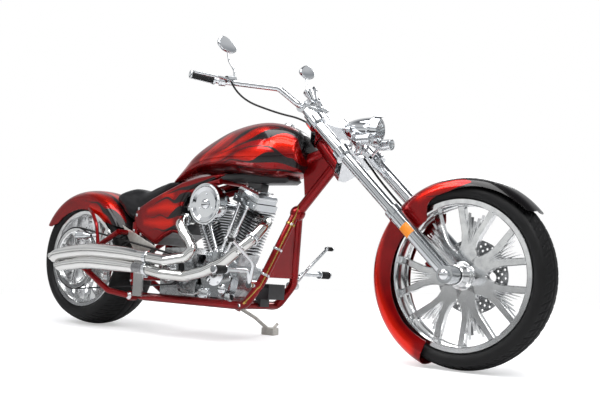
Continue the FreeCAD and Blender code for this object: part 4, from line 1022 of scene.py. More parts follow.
@dataclass
class Wheel(Assembly):
    """One wheel: lipped rim, feathered fans, hub, tyre with tread, valve and its screws."""

    end: End = End.FRONT
    tyre_radius: float = 345.0
    tyre_width: float = 124.0
    crown: float = 74.0
    rim_radius: float = 282.0
    rim_width: float = 104.0
    wall: float = 9.0
    hub_half: float = 80.0
    hub_radius: float = 50.0
    neck: float = 38.0
    bore: float = 12.6
    arm_half: float = 14.0
    chamfer: float = 3.4
    chamfer_width: float = 2.8
    fans: int = 7
    fan_rise: float = 28.6
    disc_at: float = 70.0
    pulley_radius: float = 152.0
    pulley_width: float = 28.0
    belt_offset: float = 151.0
    pitches: int = 62
    block_mm: float = 4.0

    def build(self) -> None:
        """Make and dress the wheel."""
        self.place = self.datum.front if self.end is End.FRONT else self.datum.rear
        self.body = f"{self.end.value}_wheel"
        self.centre = self.place.translation
        self.rim()
        self.tyre()
        self.small_parts()
        if self.end is End.REAR:
            self.pulley()

    def pulley(self) -> None:
        """Toothed belt pulley with swept arms, in place of the plain one."""
        place = self.place @ shift(0, -self.belt_offset, 0)
        r, half, neck = self.pulley_radius, self.pulley_width / 2, self.neck
        rim = mirrored(((r, half - 1), (r - 1, half), (r - 17, half), (r - 21, half - 5)))
        hub = mirrored(((neck + 20, 5), (neck + 17, 8), (neck + 0.3, 8)))
        self.keep(lathe(rim, place, 120), BILLET, self.centre)
        self.keep(lathe(hub, place, 64), BILLET, self.centre)
        near, far = neck + 12, r - 17
        arm = ((near, -13), (near + 26, -6), (far - 22, -4), (far, -17), (far, 15), (far - 18, 8),
               (near + 26, 8), (near, 9))
        for k in range(self.fans):
            turned = place @ turn("Y", -k * 360 / self.fans)
            self.keep(crease(slab(arm, 0, 13, turned, 2.2, 2), 30), BILLET, self.centre)
        for side in (-1, 1):
            self.screws(self.spots(circle(self.fans, neck + 11, side * 8), (0, side, 0), place), 5, 4)
        self.close("rear_pulley_billet", self.body, "chrome", "rear_pulley")

    def rim(self) -> None:
        """Rim, hub and fans in polished alloy, in place of the plain solid."""
        r, half, wall = self.rim_radius, self.rim_width / 2, self.wall
        bed, inner = r - wall, r - 2 * wall
        profile = ((bed - 6, 0), (bed - 1, half - wall - 12), (bed, half - wall - 2), (r - 3, half - wall),
                   (r, half - wall + 2), (r, half - 3), (r - 3, half), (inner + 3, half), (inner - 1, half),
                   (inner - 5, half - 5), (inner - 5, half - 16), (inner, half - 22), (inner - 7, 12))
        self.keep(lathe(mirrored(profile), self.place, 160), BILLET, self.centre)
        h, n, f, t = self.hub_half, self.neck, self.hub_radius, self.arm_half
        hub = ((f + 3, t), (f, t + 8), (n + 5, t + 14), (n, t + 26), (n, h - 3), (n - 3, h), (self.bore, h))
        self.keep(lathe(mirrored(hub), self.place, 72), BILLET, self.centre)
        for k in range(self.fans):
            self.keep(self.fan(self.fan_rise + k * 360 / self.fans), BILLET, self.centre)
        self.close(f"{self.body}_billet", self.body, "chrome", self.body)

    def fan(self, angle: float) -> Object:
        """One fan of two arms with feathered webs between them and chamfered edges.

        Args:
            angle: where it stands round the axle, in degrees.

        Returns:
            The fan.
        """
        rim = self.rim_radius - 1.5 * self.wall
        near = self.neck + 2
        half = []
        for share, across in FAN:
            v = rim * across
            u = math.sqrt(rim * rim - v * v) if share == 1 else near + (rim - near) * share
            half.append((u, v))
        outline = [(u, -v) for u, v in half] + half[-2::-1]
        place = self.place @ turn("Y", -angle)
        made = slab(outline, 0, 2 * self.arm_half - 2 * self.chamfer, place)
        across = (place.to_3x3() @ Vector((0, 1, 0))).normalized()
        with opened(made) as work:
            for sign in (1, -1):
                flats = [f for f in work.faces if f.normal.dot(across) * sign > 0.9]
                bmesh.ops.inset_region(work, faces=flats, use_even_offset=True,
                                       thickness=self.chamfer_width / 1000, depth=self.chamfer / 1000)
        return crease(made, 18)

    def small_parts(self) -> None:
        """Hub screws, disc buttons and the valve."""
        for side in (-1, 1):
            face = side * (self.arm_half + 8)
            self.screws(self.spots(circle(7, 43.5, face, self.fan_rise), (0, side, 0), self.place), 4.2, 5)
            reach = self.disc_at + 4.2 * side
            self.screws(self.spots(circle(8, 74, reach, 22.5), (0, side, 0), self.place), 5.2, 3.4, dome=0.6)
        stem = self.place @ turn("Y", -250) @ aimed((self.rim_radius - 2 * self.wall + 2, 0, 0), (-1, 0, 0))
        valve = ((0, 0), (5, 0), (5, 4), (3.2, 6), (3.2, 20), (4.4, 21), (4.4, 31), (3.4, 33), (0, 33))
        self.keep(lathe(valve, stem, 16, False), GRIP_RUBBER)
        self.close(f"{self.end.value}_wheel_small_parts", self.body, "steel")

    def section(self, steps: int) -> np.ndarray:
        """Outside of the tyre from bead to bead, evenly stepped.

        Args:
            steps: points from the crown to each bead.

        Returns:
            Points as (radius, across).
        """
        bead, crown = self.rim_width / 2 - self.wall, self.crown
        shoulder = self.tyre_radius - crown + math.sqrt(crown * crown - bead * bead)
        bulge = self.tyre_width / 2 - bead
        chord = (shoulder - self.rim_radius) / 2
        wall = (chord * chord + bulge * bulge) / (bulge * 2)
        mid = (shoulder + self.rim_radius) / 2
        spread, reach = math.asin(bead / crown), math.asin(min(chord / wall, 1.0))
        top = [(self.tyre_radius - crown + crown * math.cos(a), crown * math.sin(a))
               for a in np.linspace(0, spread, 40)]
        side = [(mid + wall * math.sin(a), bead + bulge - wall + wall * math.cos(a))
                for a in np.linspace(reach, -reach, 30)]
        line = np.array(top + side[1:])
        run = distance_along(line)
        at = np.linspace(0, run[-1], steps)
        half = np.stack([np.interp(at, run, line[:, 0]), np.interp(at, run, line[:, 1])], axis=1)
        self.tread_end = run[len(top) - 1] / run[-1]
        return np.concatenate([half[::-1] * (1, -1), half[1:]])

    def tread(self, share: np.ndarray, across: np.ndarray, around: np.ndarray) -> np.ndarray:
        """Depth of the tread's cuts: centre rib, slanted grooves, shoulder blocks and two lines on the wall.

        Args:
            share: how far each column lies from the crown to the bead.
            across: each column's place across, negative to the right.
            around: each row's place round the tyre, in blocks.

        Returns:
            Depth of each row and column, in millimetres.
        """
        ends = self.tread_end
        phase = (around[:, None] + share[None, :] * 2.4) % 1
        offset = (around[:, None] + share[None, :] * 2.4 + 0.5 * (across[None, :] > 0)) % 1
        groove = np.clip(1 - np.abs(offset - 0.5) / 0.11, 0, 1) ** 0.6
        zone = ((share > 0.16) & (share < ends * 1.12)).astype(float)
        rib = np.exp(-((share - 0.12) / 0.03) ** 2) * 0.8
        shoulder = np.exp(-((share - ends * 0.72) / 0.028) ** 2) * (0.5 + 0.5 * np.cos(2 * np.pi * phase))
        lines = 0.8 * sum(np.exp(-((share - at) / 0.012) ** 2) for at in (0.8, 0.93))
        return self.block_mm * np.clip(np.maximum(groove * zone, np.maximum(rib, shoulder)), 0, 1) + lines

    def tyre(self) -> None:
        """Tyre whose tread is cut into the crown, twelve steps to each block."""
        half_steps = 34
        line = self.section(half_steps)
        around, columns = self.pitches * 12, len(line)
        across = np.arange(columns) - (half_steps - 1)
        normal = np.gradient(line, axis=0)[:, ::-1] * (1, -1)
        normal /= np.linalg.norm(normal, axis=1)[:, None]
        normal[normal[:, 0] < -0.2] *= -1
        out = np.where((np.abs(line[:, 1:2]) > 1) & (normal[:, 1:2] * line[:, 1:2] < 0), -normal, normal)
        depth = self.tread(np.abs(across) / (half_steps - 1), across, np.arange(around) / 12)
        radius = line[:, 0] - depth * out[:, 0]
        side = line[:, 1] - depth * out[:, 1]
        angles = np.arange(around) * 2 * math.pi / around
        points = np.stack([radius * np.cos(angles)[:, None], side, radius * np.sin(angles)[:, None]], axis=2)
        seat = self.rim_width / 2 - self.wall - 1
        inner = [(self.rim_radius - 4, b) for b in (seat, -seat)]
        lining = [(r * math.cos(a), h, r * math.sin(a)) for a in angles for r, h in inner]
        points = np.concatenate([points.reshape(-1, 3), lining])
        faces = grid_faces(around, columns, True)
        first = around * columns
        for i in range(around):
            j = (i + 1) % around
            a, b, c, d = i * columns + columns - 1, j * columns + columns - 1, first + 2 * j, first + 2 * i
            faces += [(a, b, c, d), (d, c, c + 1, d + 1), (d + 1, c + 1, j * columns, i * columns)]
        made = tidy(mesh_of(points, faces, self.place, f"{self.end.value}_tyre_tread"))
        self.fit(self.clad(made, TYRE_RUBBER), self.body, "tyre", f"{self.end.value}_tyre")


@dataclass
class Tank(Assembly):
    """Arched fuel tank with a long tail, painted with licks, and its flush cap."""

    # x, underside, height of the widest level, crown, half width
    sections: Table = (
        (548, 712, 720, 732, 28), (640, 734, 758, 800, 62), (720, 748, 786, 858, 92),
        (820, 756, 806, 908, 116), (950, 752, 812, 955, 140), (1100, 732, 806, 974, 154),
        (1230, 722, 806, 950, 142), (1332, 752, 818, 892, 86))
    # along the machine, down from the crown over the flank, half width of the stroke
    licks: Strokes = (
        ((1400, 20, 60), (1344, 32, 42), (1302, 46, 26), (1262, 68, 15), (1226, 100, 19), (1190, 134, 24),
         (1152, 158, 16), (1118, 176, 8), (1080, 190, 4), (1030, 200, 3), (975, 206, 2.2), (910, 200, 1)),
        ((1400, 160, 46), (1340, 182, 30), (1298, 200, 17), (1256, 218, 18), (1214, 240, 20), (1172, 262, 13),
         (1138, 274, 6), (1096, 276, 3.6), (1044, 262, 2.6), (990, 250, 2.2), (930, 260, 1)),
        ((1400, 0, 30), (1300, 4, 18), (1210, 10, 8), (1130, 28, 5), (1060, 50, 4), (1000, 62, 5),
         (950, 78, 9), (910, 98, 12), (872, 122, 8), (836, 136, 3.4), (790, 128, 2.4), (730, 130, 1)),
        ((1400, 290, 40), (1330, 276, 22), (1280, 266, 9), (1215, 300, 4), (1140, 312, 2.8), (1060, 300, 2.2),
         (990, 304, 1)),
        ((1298, 200, 12), (1240, 190, 5), (1180, 200, 3), (1120, 210, 3), (1060, 222, 2.6), (975, 236, 1.6),
         (900, 232, 1)),
        ((1262, 68, 10), (1190, 70, 4), (1140, 84, 3), (1096, 106, 7), (1060, 130, 15), (1028, 154, 12),
         (1000, 176, 5), (960, 188, 2.6), (900, 182, 1)),
        ((1060, 300, 1), (1000, 282, 2.4), (940, 286, 2.2), (860, 270, 1)),
        ((1028, 96, 1), (980, 112, 3), (930, 142, 2.6), (860, 160, 2), (780, 170, 1)))
    # painted highlight: where the red is drawn brighter, as light on the rounded ends between the strokes
    lights: Strokes = (
        ((1296, 112, 20), (1262, 134, 28), (1224, 172, 15), (1186, 190, 5)),
        ((1192, 238, 18), (1150, 242, 25), (1100, 246, 15), (1045, 244, 5)),
        ((1156, 112, 12), (1120, 134, 20), (1084, 158, 11), (1050, 172, 4)),
        ((1014, 196, 10), (975, 206, 16), (925, 210, 9), (880, 206, 4)),
        ((970, 124, 10), (925, 142, 15), (870, 154, 8), (800, 160, 4)))

    cap_at: Row = (1166.0, 60.0, 961.0)
    cap_side_tilt: float = -24.0
    cap_end_tilt: float = 4.0

    def build(self) -> None:
        """Make and dress the tank."""
        steps = 90
        rows = [self.section(row, steps) for row in self.ends(spline(self.sections, 26))]
        points = np.concatenate(rows)
        made = mesh_of(points, tunnel_faces(len(rows), 2 * steps), self.base, "tank_shell")
        reach = []
        for row in rows:
            run = distance_along(row[:steps + 1])
            reach.append(np.concatenate([run, run[1:steps][::-1]]))
        places = np.stack([points[:, 0], np.concatenate(reach)], axis=1)
        paint_fields(made, places, self.licks, self.lights, fade=26.0)
        self.fit(self.clad(crease(tidy(made), 60), FlamePaint()), "chassis", "paint", "fuel_tank")
        self.cap()

    def ends(self, table: np.ndarray) -> list[np.ndarray]:
        """Stations of the loft with both ends rounded off.

        Args:
            table: the stations, from the tail forward.

        Returns:
            The stations with the rounded tips added.
        """
        tips = []
        for (x, low, wide, top, half), way, reach in ((table[0], -1, 6), (table[-1], 1, 18)):
            steps = []
            for t in (0.35, 0.65, 0.85, 0.97, 1.0):
                k = math.sqrt(max(1 - t * t, 0.004))
                steps.append(np.array((x + way * reach * (t - 1), wide + (low - wide) * k, wide,
                                       wide + (top - wide) * k, half * k)))
            tips.append(steps)
        middle = [row for row in table if table[0][0] + 6 < row[0] < table[-1][0] - 18]
        return tips[0][::-1] + middle + tips[1]

    def section(self, row: np.ndarray, steps: int) -> np.ndarray:
        """Closed section: a round crown over bellied flanks and a narrower foot.

        Args:
            row: x, underside, widest level, crown and half width.
            steps: corners on each side.

        Returns:
            Corners, from the crown down the left side and up the right.
        """
        x, low, wide, top, half = row
        out = []
        for k in range(steps + 1):
            angle = math.pi * k / steps
            if angle <= math.pi / 2:
                y, z = math.sin(angle) ** 0.94, math.cos(angle) ** 1.06
                out.append((x, half * y, wide + (top - wide) * z))
            else:
                s = (angle - math.pi / 2) / (math.pi / 2)
                y = math.cos(s * math.pi / 2) ** 0.62 * (1 - 0.12 * s)
                out.append((x, half * y, wide + (low - wide) * math.sin(s * math.pi / 2) ** 1.1))
        left = np.array(out)
        return np.concatenate([left, left[1:-1][::-1] * (1, -1, 1)])

    def cap(self) -> None:
        """Flush filler cap on the left of the crown."""
        tilt = turn("X", self.cap_side_tilt) @ turn("Y", self.cap_end_tilt)
        place = self.base @ shift(*self.cap_at) @ tilt @ turn("X", 90)
        self.keep(lathe(((0, 9), (20, 9), (25, 7), (28, 2), (30, -6), (0, -6)), place, 48, False))
        self.close("tank_cap")


@dataclass
class Fender(Assembly):
    """Sheet-metal fender that follows a trimmed edge, painted with licks."""

    end: End = End.FRONT
    radius: float = 365.0
    half: float = 76.0
    start: float = 40.0
    sweep: float = 208.0
    wall: float = 4.0
    edge: Table = ()
    licks: Strokes = ()
    # painted highlight: strokes where the red is drawn brighter
    lights: Strokes = ()
    stations: int = 301
    soften: int = 9
    boss_at: float = -458.0
    boss_radius: float = 8.0

    def half_section(self, steps: int) -> np.ndarray:
        """Half of the section, from the crown to the skirt.

        Args:
            steps: points over the crown.

        Returns:
            Points as (radius, across).
        """
        r, w = self.radius, self.half
        angles = np.linspace(0, math.pi / 2, steps)
        line = np.stack([r * (0.86 + 0.14 * np.abs(np.cos(angles)) ** 0.9), w * np.sin(angles) ** 0.92],
                        axis=1)
        line[0], line[-1] = (r, 0), (r * 0.86, w)
        skirt = np.linspace(r * 0.86, 226, 16)[1:]
        return np.concatenate([line, np.stack([skirt, np.full(len(skirt), w)], axis=1)])

    def build(self) -> None:
        """Make and dress the fender."""
        line = self.half_section(40)
        run = distance_along(line)
        angles = np.linspace(self.start + 1, self.start + self.sweep - 1, self.stations)
        rim = np.interp(angles, [row[0] for row in self.edge], [row[1] for row in self.edge])
        window = np.hanning(self.soften + 2)[1:-1]
        padded = np.pad(rim, self.soften // 2, mode="edge")
        rim = np.convolve(padded, window / window.sum(), mode="valid")
        columns, points, spread = 97, [], []
        for angle, low in zip(np.radians(angles), rim):
            last = np.interp(-min(low, self.radius - 0.4), -line[:, 0], run)
            for t in np.linspace(-1, 1, columns):
                at = abs(t) * last
                r, w = np.interp(at, run, line[:, 0]), np.interp(at, run, line[:, 1])
                points.append((r * math.cos(angle), math.copysign(w, t), r * math.sin(angle)))
                spread.append((angle * self.radius, at))
        place = self.datum.front if self.end is End.FRONT else self.datum.rear
        made = mesh_of(points, grid_faces(len(angles), columns), place, f"{self.end.value}_fender_shell")
        paint_fields(made, np.array(spread), self.licks, self.lights)
        axis = (place.to_3x3() @ Vector((0, 1, 0))).normalized()
        with opened(made) as work:
            for face in work.faces:
                outward = face.calc_center_median() - place.translation
                if face.normal.dot(outward + axis * outward.dot(axis)) < 0:
                    face.normal_flip()
        shell = made.modifiers.new("wall", "SOLIDIFY")
        shell.thickness, shell.offset = self.wall / 1000, -1.0
        made = self.clad(crease(bake(made), 55), FlamePaint())
        self.fit(made, "fork" if self.end is End.FRONT else "chassis", "paint", f"{self.end.value}_fender")
        if self.end is End.FRONT:
            self.bosses()

    def bosses(self) -> None:
        """Bosses between the fender's flanks and the sliders."""
        r = self.boss_radius
        profile = ((0, 0), (r + 4, 0), (r + 4, 4), (r, 8), (r, 19), (0, 19))
        for side in (-1, 1):
            at = self.datum.on_leg(0, side * (self.half - 6), self.boss_at)
            self.keep(lathe(profile, self.aim(at, (0, side, 0)), 28, False))
        self.close("front_fender_bosses", "fork")


@dataclass
class Bodywork(Assembly):
    """Side covers, their polished plates and the saddle."""

    cover: Table = (
        (398, 486), (470, 446), (542, 414), (596, 452), (650, 476), (696, 468), (704, 520), (704, 600),
        (736, 648), (820, 684), (900, 712), (968, 738), (900, 738), (800, 728), (698, 708), (600, 672),
        (501, 634), (405, 588), (386, 545))
    cover_half: float = 128.0
    # x, z, half width of the stroke
    licks: Strokes = (
        ((750, 636, 26), (704, 636, 19), (662, 618, 8), (612, 636, 5), (562, 622, 3), (500, 592, 1)),
        ((740, 578, 24), (694, 574, 22), (654, 556, 14), (620, 542, 4), (570, 556, 2.8), (520, 544, 2),
         (460, 556, 1)),
        ((740, 496, 20), (692, 500, 15), (650, 494, 8), (600, 482, 4), (550, 490, 2.5), (490, 478, 1)),
        ((900, 716, 12), (800, 690, 12), (740, 680, 9), (690, 676, 5), (640, 662, 3), (580, 650, 1)))
    # painted highlight: strokes where the red is drawn brighter
    lights: Strokes = (
        ((664, 588, 16), (610, 594, 20), (550, 588, 12), (490, 576, 4)),
        ((640, 520, 18), (590, 516, 22), (530, 518, 14), (470, 520, 4)),
        ((640, 648, 8), (590, 652, 6)))
    room: Table = ((690, 596), (1010, 596), (1010, 816), (690, 816))
    room_half: float = 106.0
    cover_voxel: float = 4.2
    pad_voxel: float = 6.0
    swell_mm: float = 8.0
    # x, underside, crown, half width of the saddle
    saddle: Table = (
        (196, 634, 652, 62), (212, 620, 670, 80), (240, 590, 682, 87), (284, 545, 689, 87),
        (330, 530, 683, 86), (372, 556, 674, 82), (408, 588, 677, 76), (440, 612, 688, 70),
        (490, 652, 704, 60), (540, 688, 720, 48), (590, 710, 725, 36))

    def build(self) -> None:
        """Make and dress the pieces."""
        self.covers()
        self.seat()
        for side, name in ((1, "left"), (-1, "right")):
            self.keep(slab(((316, 506), (560, 405), (430, 356)), side * 131, 4, self.base, 1.2), ZINC)
            made = self.close(f"{name}_corner_plate")
        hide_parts("side_plates")
        spots = []
        for side in (-1, 1):
            places = [(x, side * (self.cover_half + 0.6), z)
                      for x, z in ((424, 586), (412, 556), (446, 462))]
            spots += self.spots(places, (0, side, 0))
        self.screws(spots, 7, 4, dome=0.6)
        self.close("cover_buttons")

    def covers(self) -> None:
        """Both covers as one crowned shell with a dense skin for its licks, and black painted shade on its
        inner and lower faces.
        """
        made = slab(self.cover, 0, 2 * self.cover_half - 2, self.base, 13, 4)
        made.name = "side_cover_shell"
        room = slab(self.room, 0, 2 * self.room_half, self.base)
        cut = made.modifiers.new("room", "BOOLEAN")
        cut.operation, cut.solver, cut.object = "DIFFERENCE", "EXACT", room
        made = bake(made)
        bpy.data.objects.remove(room)
        skin = made.modifiers.new("skin", "REMESH")
        skin.mode, skin.voxel_size = "VOXEL", self.cover_voxel / 1000
        smooth = made.modifiers.new("smooth", "SMOOTH")
        smooth.iterations = 5
        made = crease(bake(made), 70)
        back = np.array(self.base.inverted())
        local = points_of(made) @ back[:3, :3].T + back[:3, 3]
        paint_fields(made, local[:, [0, 2]], self.licks, self.lights, 4.0)
        self.clad(self.clad(made, FlamePaint()), BLACK_COAT_AND_SHADE)
        turned = back[:3, :3] / np.linalg.norm(back[:3, 0])
        for face in made.data.polygons:
            middle, way = local[list(face.vertices)].mean(axis=0), turned @ np.array(face.normal)
            # painted shade: faces inside the covers that face forward or down take the black coat, for the
            # shade inside and under them
            inside = abs(middle[1]) < self.cover_half - 14 and (way[0] > 0.3 or way[2] < -0.3)
            face.material_index = 1 if inside else 0
        self.fit(made, "chassis", "paint", "oil_tank")

    def seat(self) -> None:
        """Saddle as a stuffed pad: a crowned form swollen by cloth, with a welt round its foot."""
        points, steps = [], 28
        table = spline(self.saddle, 4)
        for x, low, top, half in table:
            for k in range(steps):
                y, z = math.sin(2 * math.pi * k / steps), math.cos(2 * math.pi * k / steps)
                power = 0.72 if z > 0 else 0.35
                points.append((x, half * math.copysign(abs(y) ** 0.8, y),
                               (low + top) / 2 + (top - low) / 2 * math.copysign(abs(z) ** power, z)))
        made = tidy(mesh_of(points, tunnel_faces(len(table), steps), self.base, "saddle_pad"))
        skin = made.modifiers.new("skin", "REMESH")
        skin.mode, skin.voxel_size = "VOXEL", self.pad_voxel / 1000
        made = bake(made)
        self.swell(made, self.swell_mm / 1000)
        soft = made.modifiers.new("soft", "SMOOTH")
        soft.iterations = 3
        finer = made.modifiers.new("finer", "SUBSURF")
        finer.levels = finer.render_levels = 1
        made = self.fit(self.clad(crease(bake(made), 80), SADDLE_HIDE), "chassis", "leather")
        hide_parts("seat")

    def swell(self, made: Object, cap: float) -> None:
        """Swell a pad by cloth under pressure.

        Args:
            made: the pad.
            cap: furthest that a point may move, in metres.
        """
        before = points_of(made)
        cloth = made.modifiers.new("cloth", "CLOTH")
        cloth.settings.use_pressure = True
        cloth.settings.uniform_pressure_force = 4.0
        cloth.settings.effector_weights.gravity = 0.0
        scene = bpy.context.scene
        for number in range(1, 21):
            scene.frame_set(number)
        bake(made)
        move = points_of(made) - before
        length = np.linalg.norm(move, axis=1)
        move *= np.minimum(1, cap / np.maximum(length, 1e-9))[:, None]
        made.data.vertices.foreach_set("co", (before + move).ravel())
        scene.frame_set(1)


# ---- bars, lamps and fork
LATHE_UP = turn("X", 90)


@dataclass
class Lines(Assembly):
    """Control cable and brake hose: lines along their routes, held at both ends."""

    clamp_height: float = 114.3
    behind: float = -42.5
    cable_mm: float = 8.0
    hose_mm: float = 9.0

    def build(self) -> None:
        """Make both lines."""
        datum = self.datum
        clamp = datum.clamp
        _, grip, bend = datum.bar(-1)
        start = grip + (bend - grip).normalized() * 20 + Vector((36, 10, 4))
        cable = [start, start + Vector((14, 34, -70)), clamp + Vector((-70, -150, -36)),
                 clamp + Vector((34, -96, -60)), datum.on_head(40, -76, self.clamp_height - 4)]
        self.line("control_cable_line", "control_cable", cable, self.cable_mm, "stiff")
        low, y = -datum.fork_length, datum.leg_spread
        hose = [datum.on_leg(*at) for at in ((self.behind + 16, y, -70), (self.behind, y, -150),
                                             (self.behind, y, low + 300), (-78, 82, low + 210),
                                             (-78, 82, low + 160))]
        self.line("brake_hose_line", "brake_hose", hose, self.hose_mm, "medium")

    def line(self, name: str, node: str, route: list[Vector], width: float, stiffness: str) -> None:
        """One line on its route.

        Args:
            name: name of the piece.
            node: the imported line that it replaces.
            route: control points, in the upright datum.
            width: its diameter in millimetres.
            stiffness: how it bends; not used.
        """
        data = bpy.data.curves.new(name, "CURVE")
        data.dimensions = "3D"
        run = data.splines.new("NURBS")
        run.points.add(len(route) - 1)
        for point, at in zip(run.points, route):
            point.co = (*(self.base @ at), 1.0)
        run.order_u = 3
        run.use_endpoint_u = True
        data.resolution_u = 24
        made = linked(name, data)
        bare = bpy.data.meshes.new_from_object(made)
        ends = ([bare.vertices[index].co for index in edge.vertices] for edge in bare.edges)
        length = sum((a - b).length for a, b in ends)
        data.bevel_depth = width / 2000
        data.bevel_resolution = 4
        data.use_fill_caps = True
        self.clad(made, GRIP_RUBBER)
        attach(made, "fork")
        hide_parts(node)
        log.info("line %s is %.3f m long", name, length)


@dataclass
class Cockpit(Assembly):
    """Grips, mirrors, dial, and the caps and screws of the clamps."""

    riser_spread: float = 60.0
    leg_top: float = 148.3
    stem_top: float = 126.3
    grip_radius: float = 18.0
    mirror: Table = ((-58, -8), (-20, -34), (38, -26), (60, 4), (30, 36), (-16, 30))
    dial_radius: float = 25.0

    def build(self) -> None:
        """Make and dress the pieces."""
        self.grips()
        self.mirrors()
        self.dial()
        self.caps()

    def grips(self) -> None:
        """Ribbed rubber sleeves with plated strips, an end cap and a collar."""
        r = self.grip_radius
        sleeve = [(13.2, 7)] + [(r - (0.9 if k % 2 else 0), 8 + k * 3.2) for k in range(31)] + [(13.2, 106)]
        cap = ((0, 0), (8, 0.4), (14, 2), (r - 1, 5), (r, 8), (r - 2, 9), (0, 9))
        collar = ((13.2, 105), (r + 1, 105), (r + 2.4, 108), (r + 2.4, 113), (r, 116), (13.2, 116))
        for side in (1, -1):
            outer, inner, _ = self.datum.bar(side)
            way = (inner - outer).normalized()
            place = self.aim(outer - way * 8, way)
            self.keep(lathe(sleeve, place, 40), GRIP_RUBBER)
            self.keep(lathe(cap, place, 40, False))
            self.keep(lathe(collar, place, 40))
            for x, _, z in circle(3, r * 0.97, 0, 40):
                self.keep(tube([(x, h, z) for h in (10, 56, 103)], 1.9, place, 10))
        self.close("grip_sleeves", "fork", "rubber", "grips")

    def mirrors(self) -> None:
        """Shell-shaped heads with silvered glass, each on a curved stalk."""
        nut = ((0, -3), (10, -3), (10, 6), (7, 10), (0, 10))
        for side in (1, -1):
            _, bend, second = self.datum.bar(side)
            foot = bend + (second - bend).normalized() * 66
            stalk = [foot + Vector(step) for step in ((0, 0, 0), (2, side * 2, 50), (-26, side * 6, 96),
                                                      (-34, side * 8, 138))]
            self.keep(tube(spline(stalk), [6.2] * 4 + [5] * 21, self.base))
            self.keep(lathe(nut, self.aim(foot, (0, 0, 1)), 6, False))
            head = shift(*(foot + Vector((-44, side * 12, 158)))) @ turn("Y", -14) @ turn("Z", 90)
            line = [(u * 0.95, v * 0.95) for u, v in loop_line([(side * u, v) for u, v in self.mirror], 5)]
            self.keep(slab(line, -8, 15, self.base @ head, 5, 4))
            glass = [(u * 0.86, v * 0.84) for u, v in line]
            self.keep(slab(glass, -0.4, 0.8, self.base @ head, 0.3, 1), MIRROR_GLASS)
        self.close("mirror_pair", "fork", "chrome", "mirrors")

    def dial(self) -> None:
        """Dial in the gauge's cup: black face, white marks, a needle, a bezel and glass."""
        place = self.base @ shift(*(self.datum.clamp + Vector((8, 0, 36)))) @ turn("Y", -28) @ LATHE_UP
        r = self.dial_radius
        self.keep(lathe(((0, 49.2), (r, 49.2), (r, 48), (0, 48)), place, 48, False), DIAL)
        self.screws(self.spots(circle(24, r * 0.84, 49.6), (0, 1, 0), place), 0.9, 0.5, Head.HEX, 0.9,
                    DIAL_MARK)
        needle = ((-2, -1.2), (r * 0.7, -0.4), (r * 0.7, 0.4), (-2, 1.2))
        self.keep(slab(needle, 50.2, 0.6, place @ turn("Y", 35)), AMBER)
        self.keep(lathe(((0, 51.4), (2.6, 51), (2.8, 49), (0, 49)), place, 20, False))
        bezel = ((r - 0.5, 48.6), (r, 51.5), (r + 2, 53), (r + 5, 52), (r + 5.4, 48.6))
        self.keep(lathe(bezel, place, 56))
        glass = ((0, 53.4), (r * 0.6, 53.0), (r, 51.8), (r, 51.2), (r * 0.6, 52.4), (0, 52.8))
        self.keep(lathe(glass, place, 48, False), LAMP_GLASS)
        self.close("gauge_dial", "fork")

    def caps(self) -> None:
        """Cap nuts on the legs and the stem, screws of the clamps and risers."""
        spread, at = self.datum.leg_spread, self.datum.clamp
        cap = ((0, 9), (8, 9), (10, 8), (15, 7), (16, 2), (23, 1), (24, -1), (0, -1))
        for side in (-1, 1):
            place = self.datum.leg @ shift(0, side * spread, self.leg_top) @ LATHE_UP
            self.keep(lathe(cap, place, 32, False))
        stem = ((0, 16), (6, 15), (11, 12), (13, 8), (19, 7), (22, 5), (22, 0), (0, 0))
        self.keep(lathe(stem, self.datum.head @ shift(0, 0, self.stem_top) @ LATHE_UP, 36, False))
        clamps = [(reach + 37, side * spread, height + dz) for height, reach in ((97.3, 77.3), (-97.3, 92.7))
                  for side in (-1, 1) for dz in (-9, 9)]
        risers = [(at.x + dx, at.y + side * self.riser_spread, at.z + 16)
                  for side in (-1, 1) for dx in (-16, 16)]
        self.screws(self.spots(clamps, (1, 0, 0), self.datum.head) + self.spots(risers, (0, 0, 1)), 4.6, 6)
        self.close("clamp_caps_and_screws", "fork")


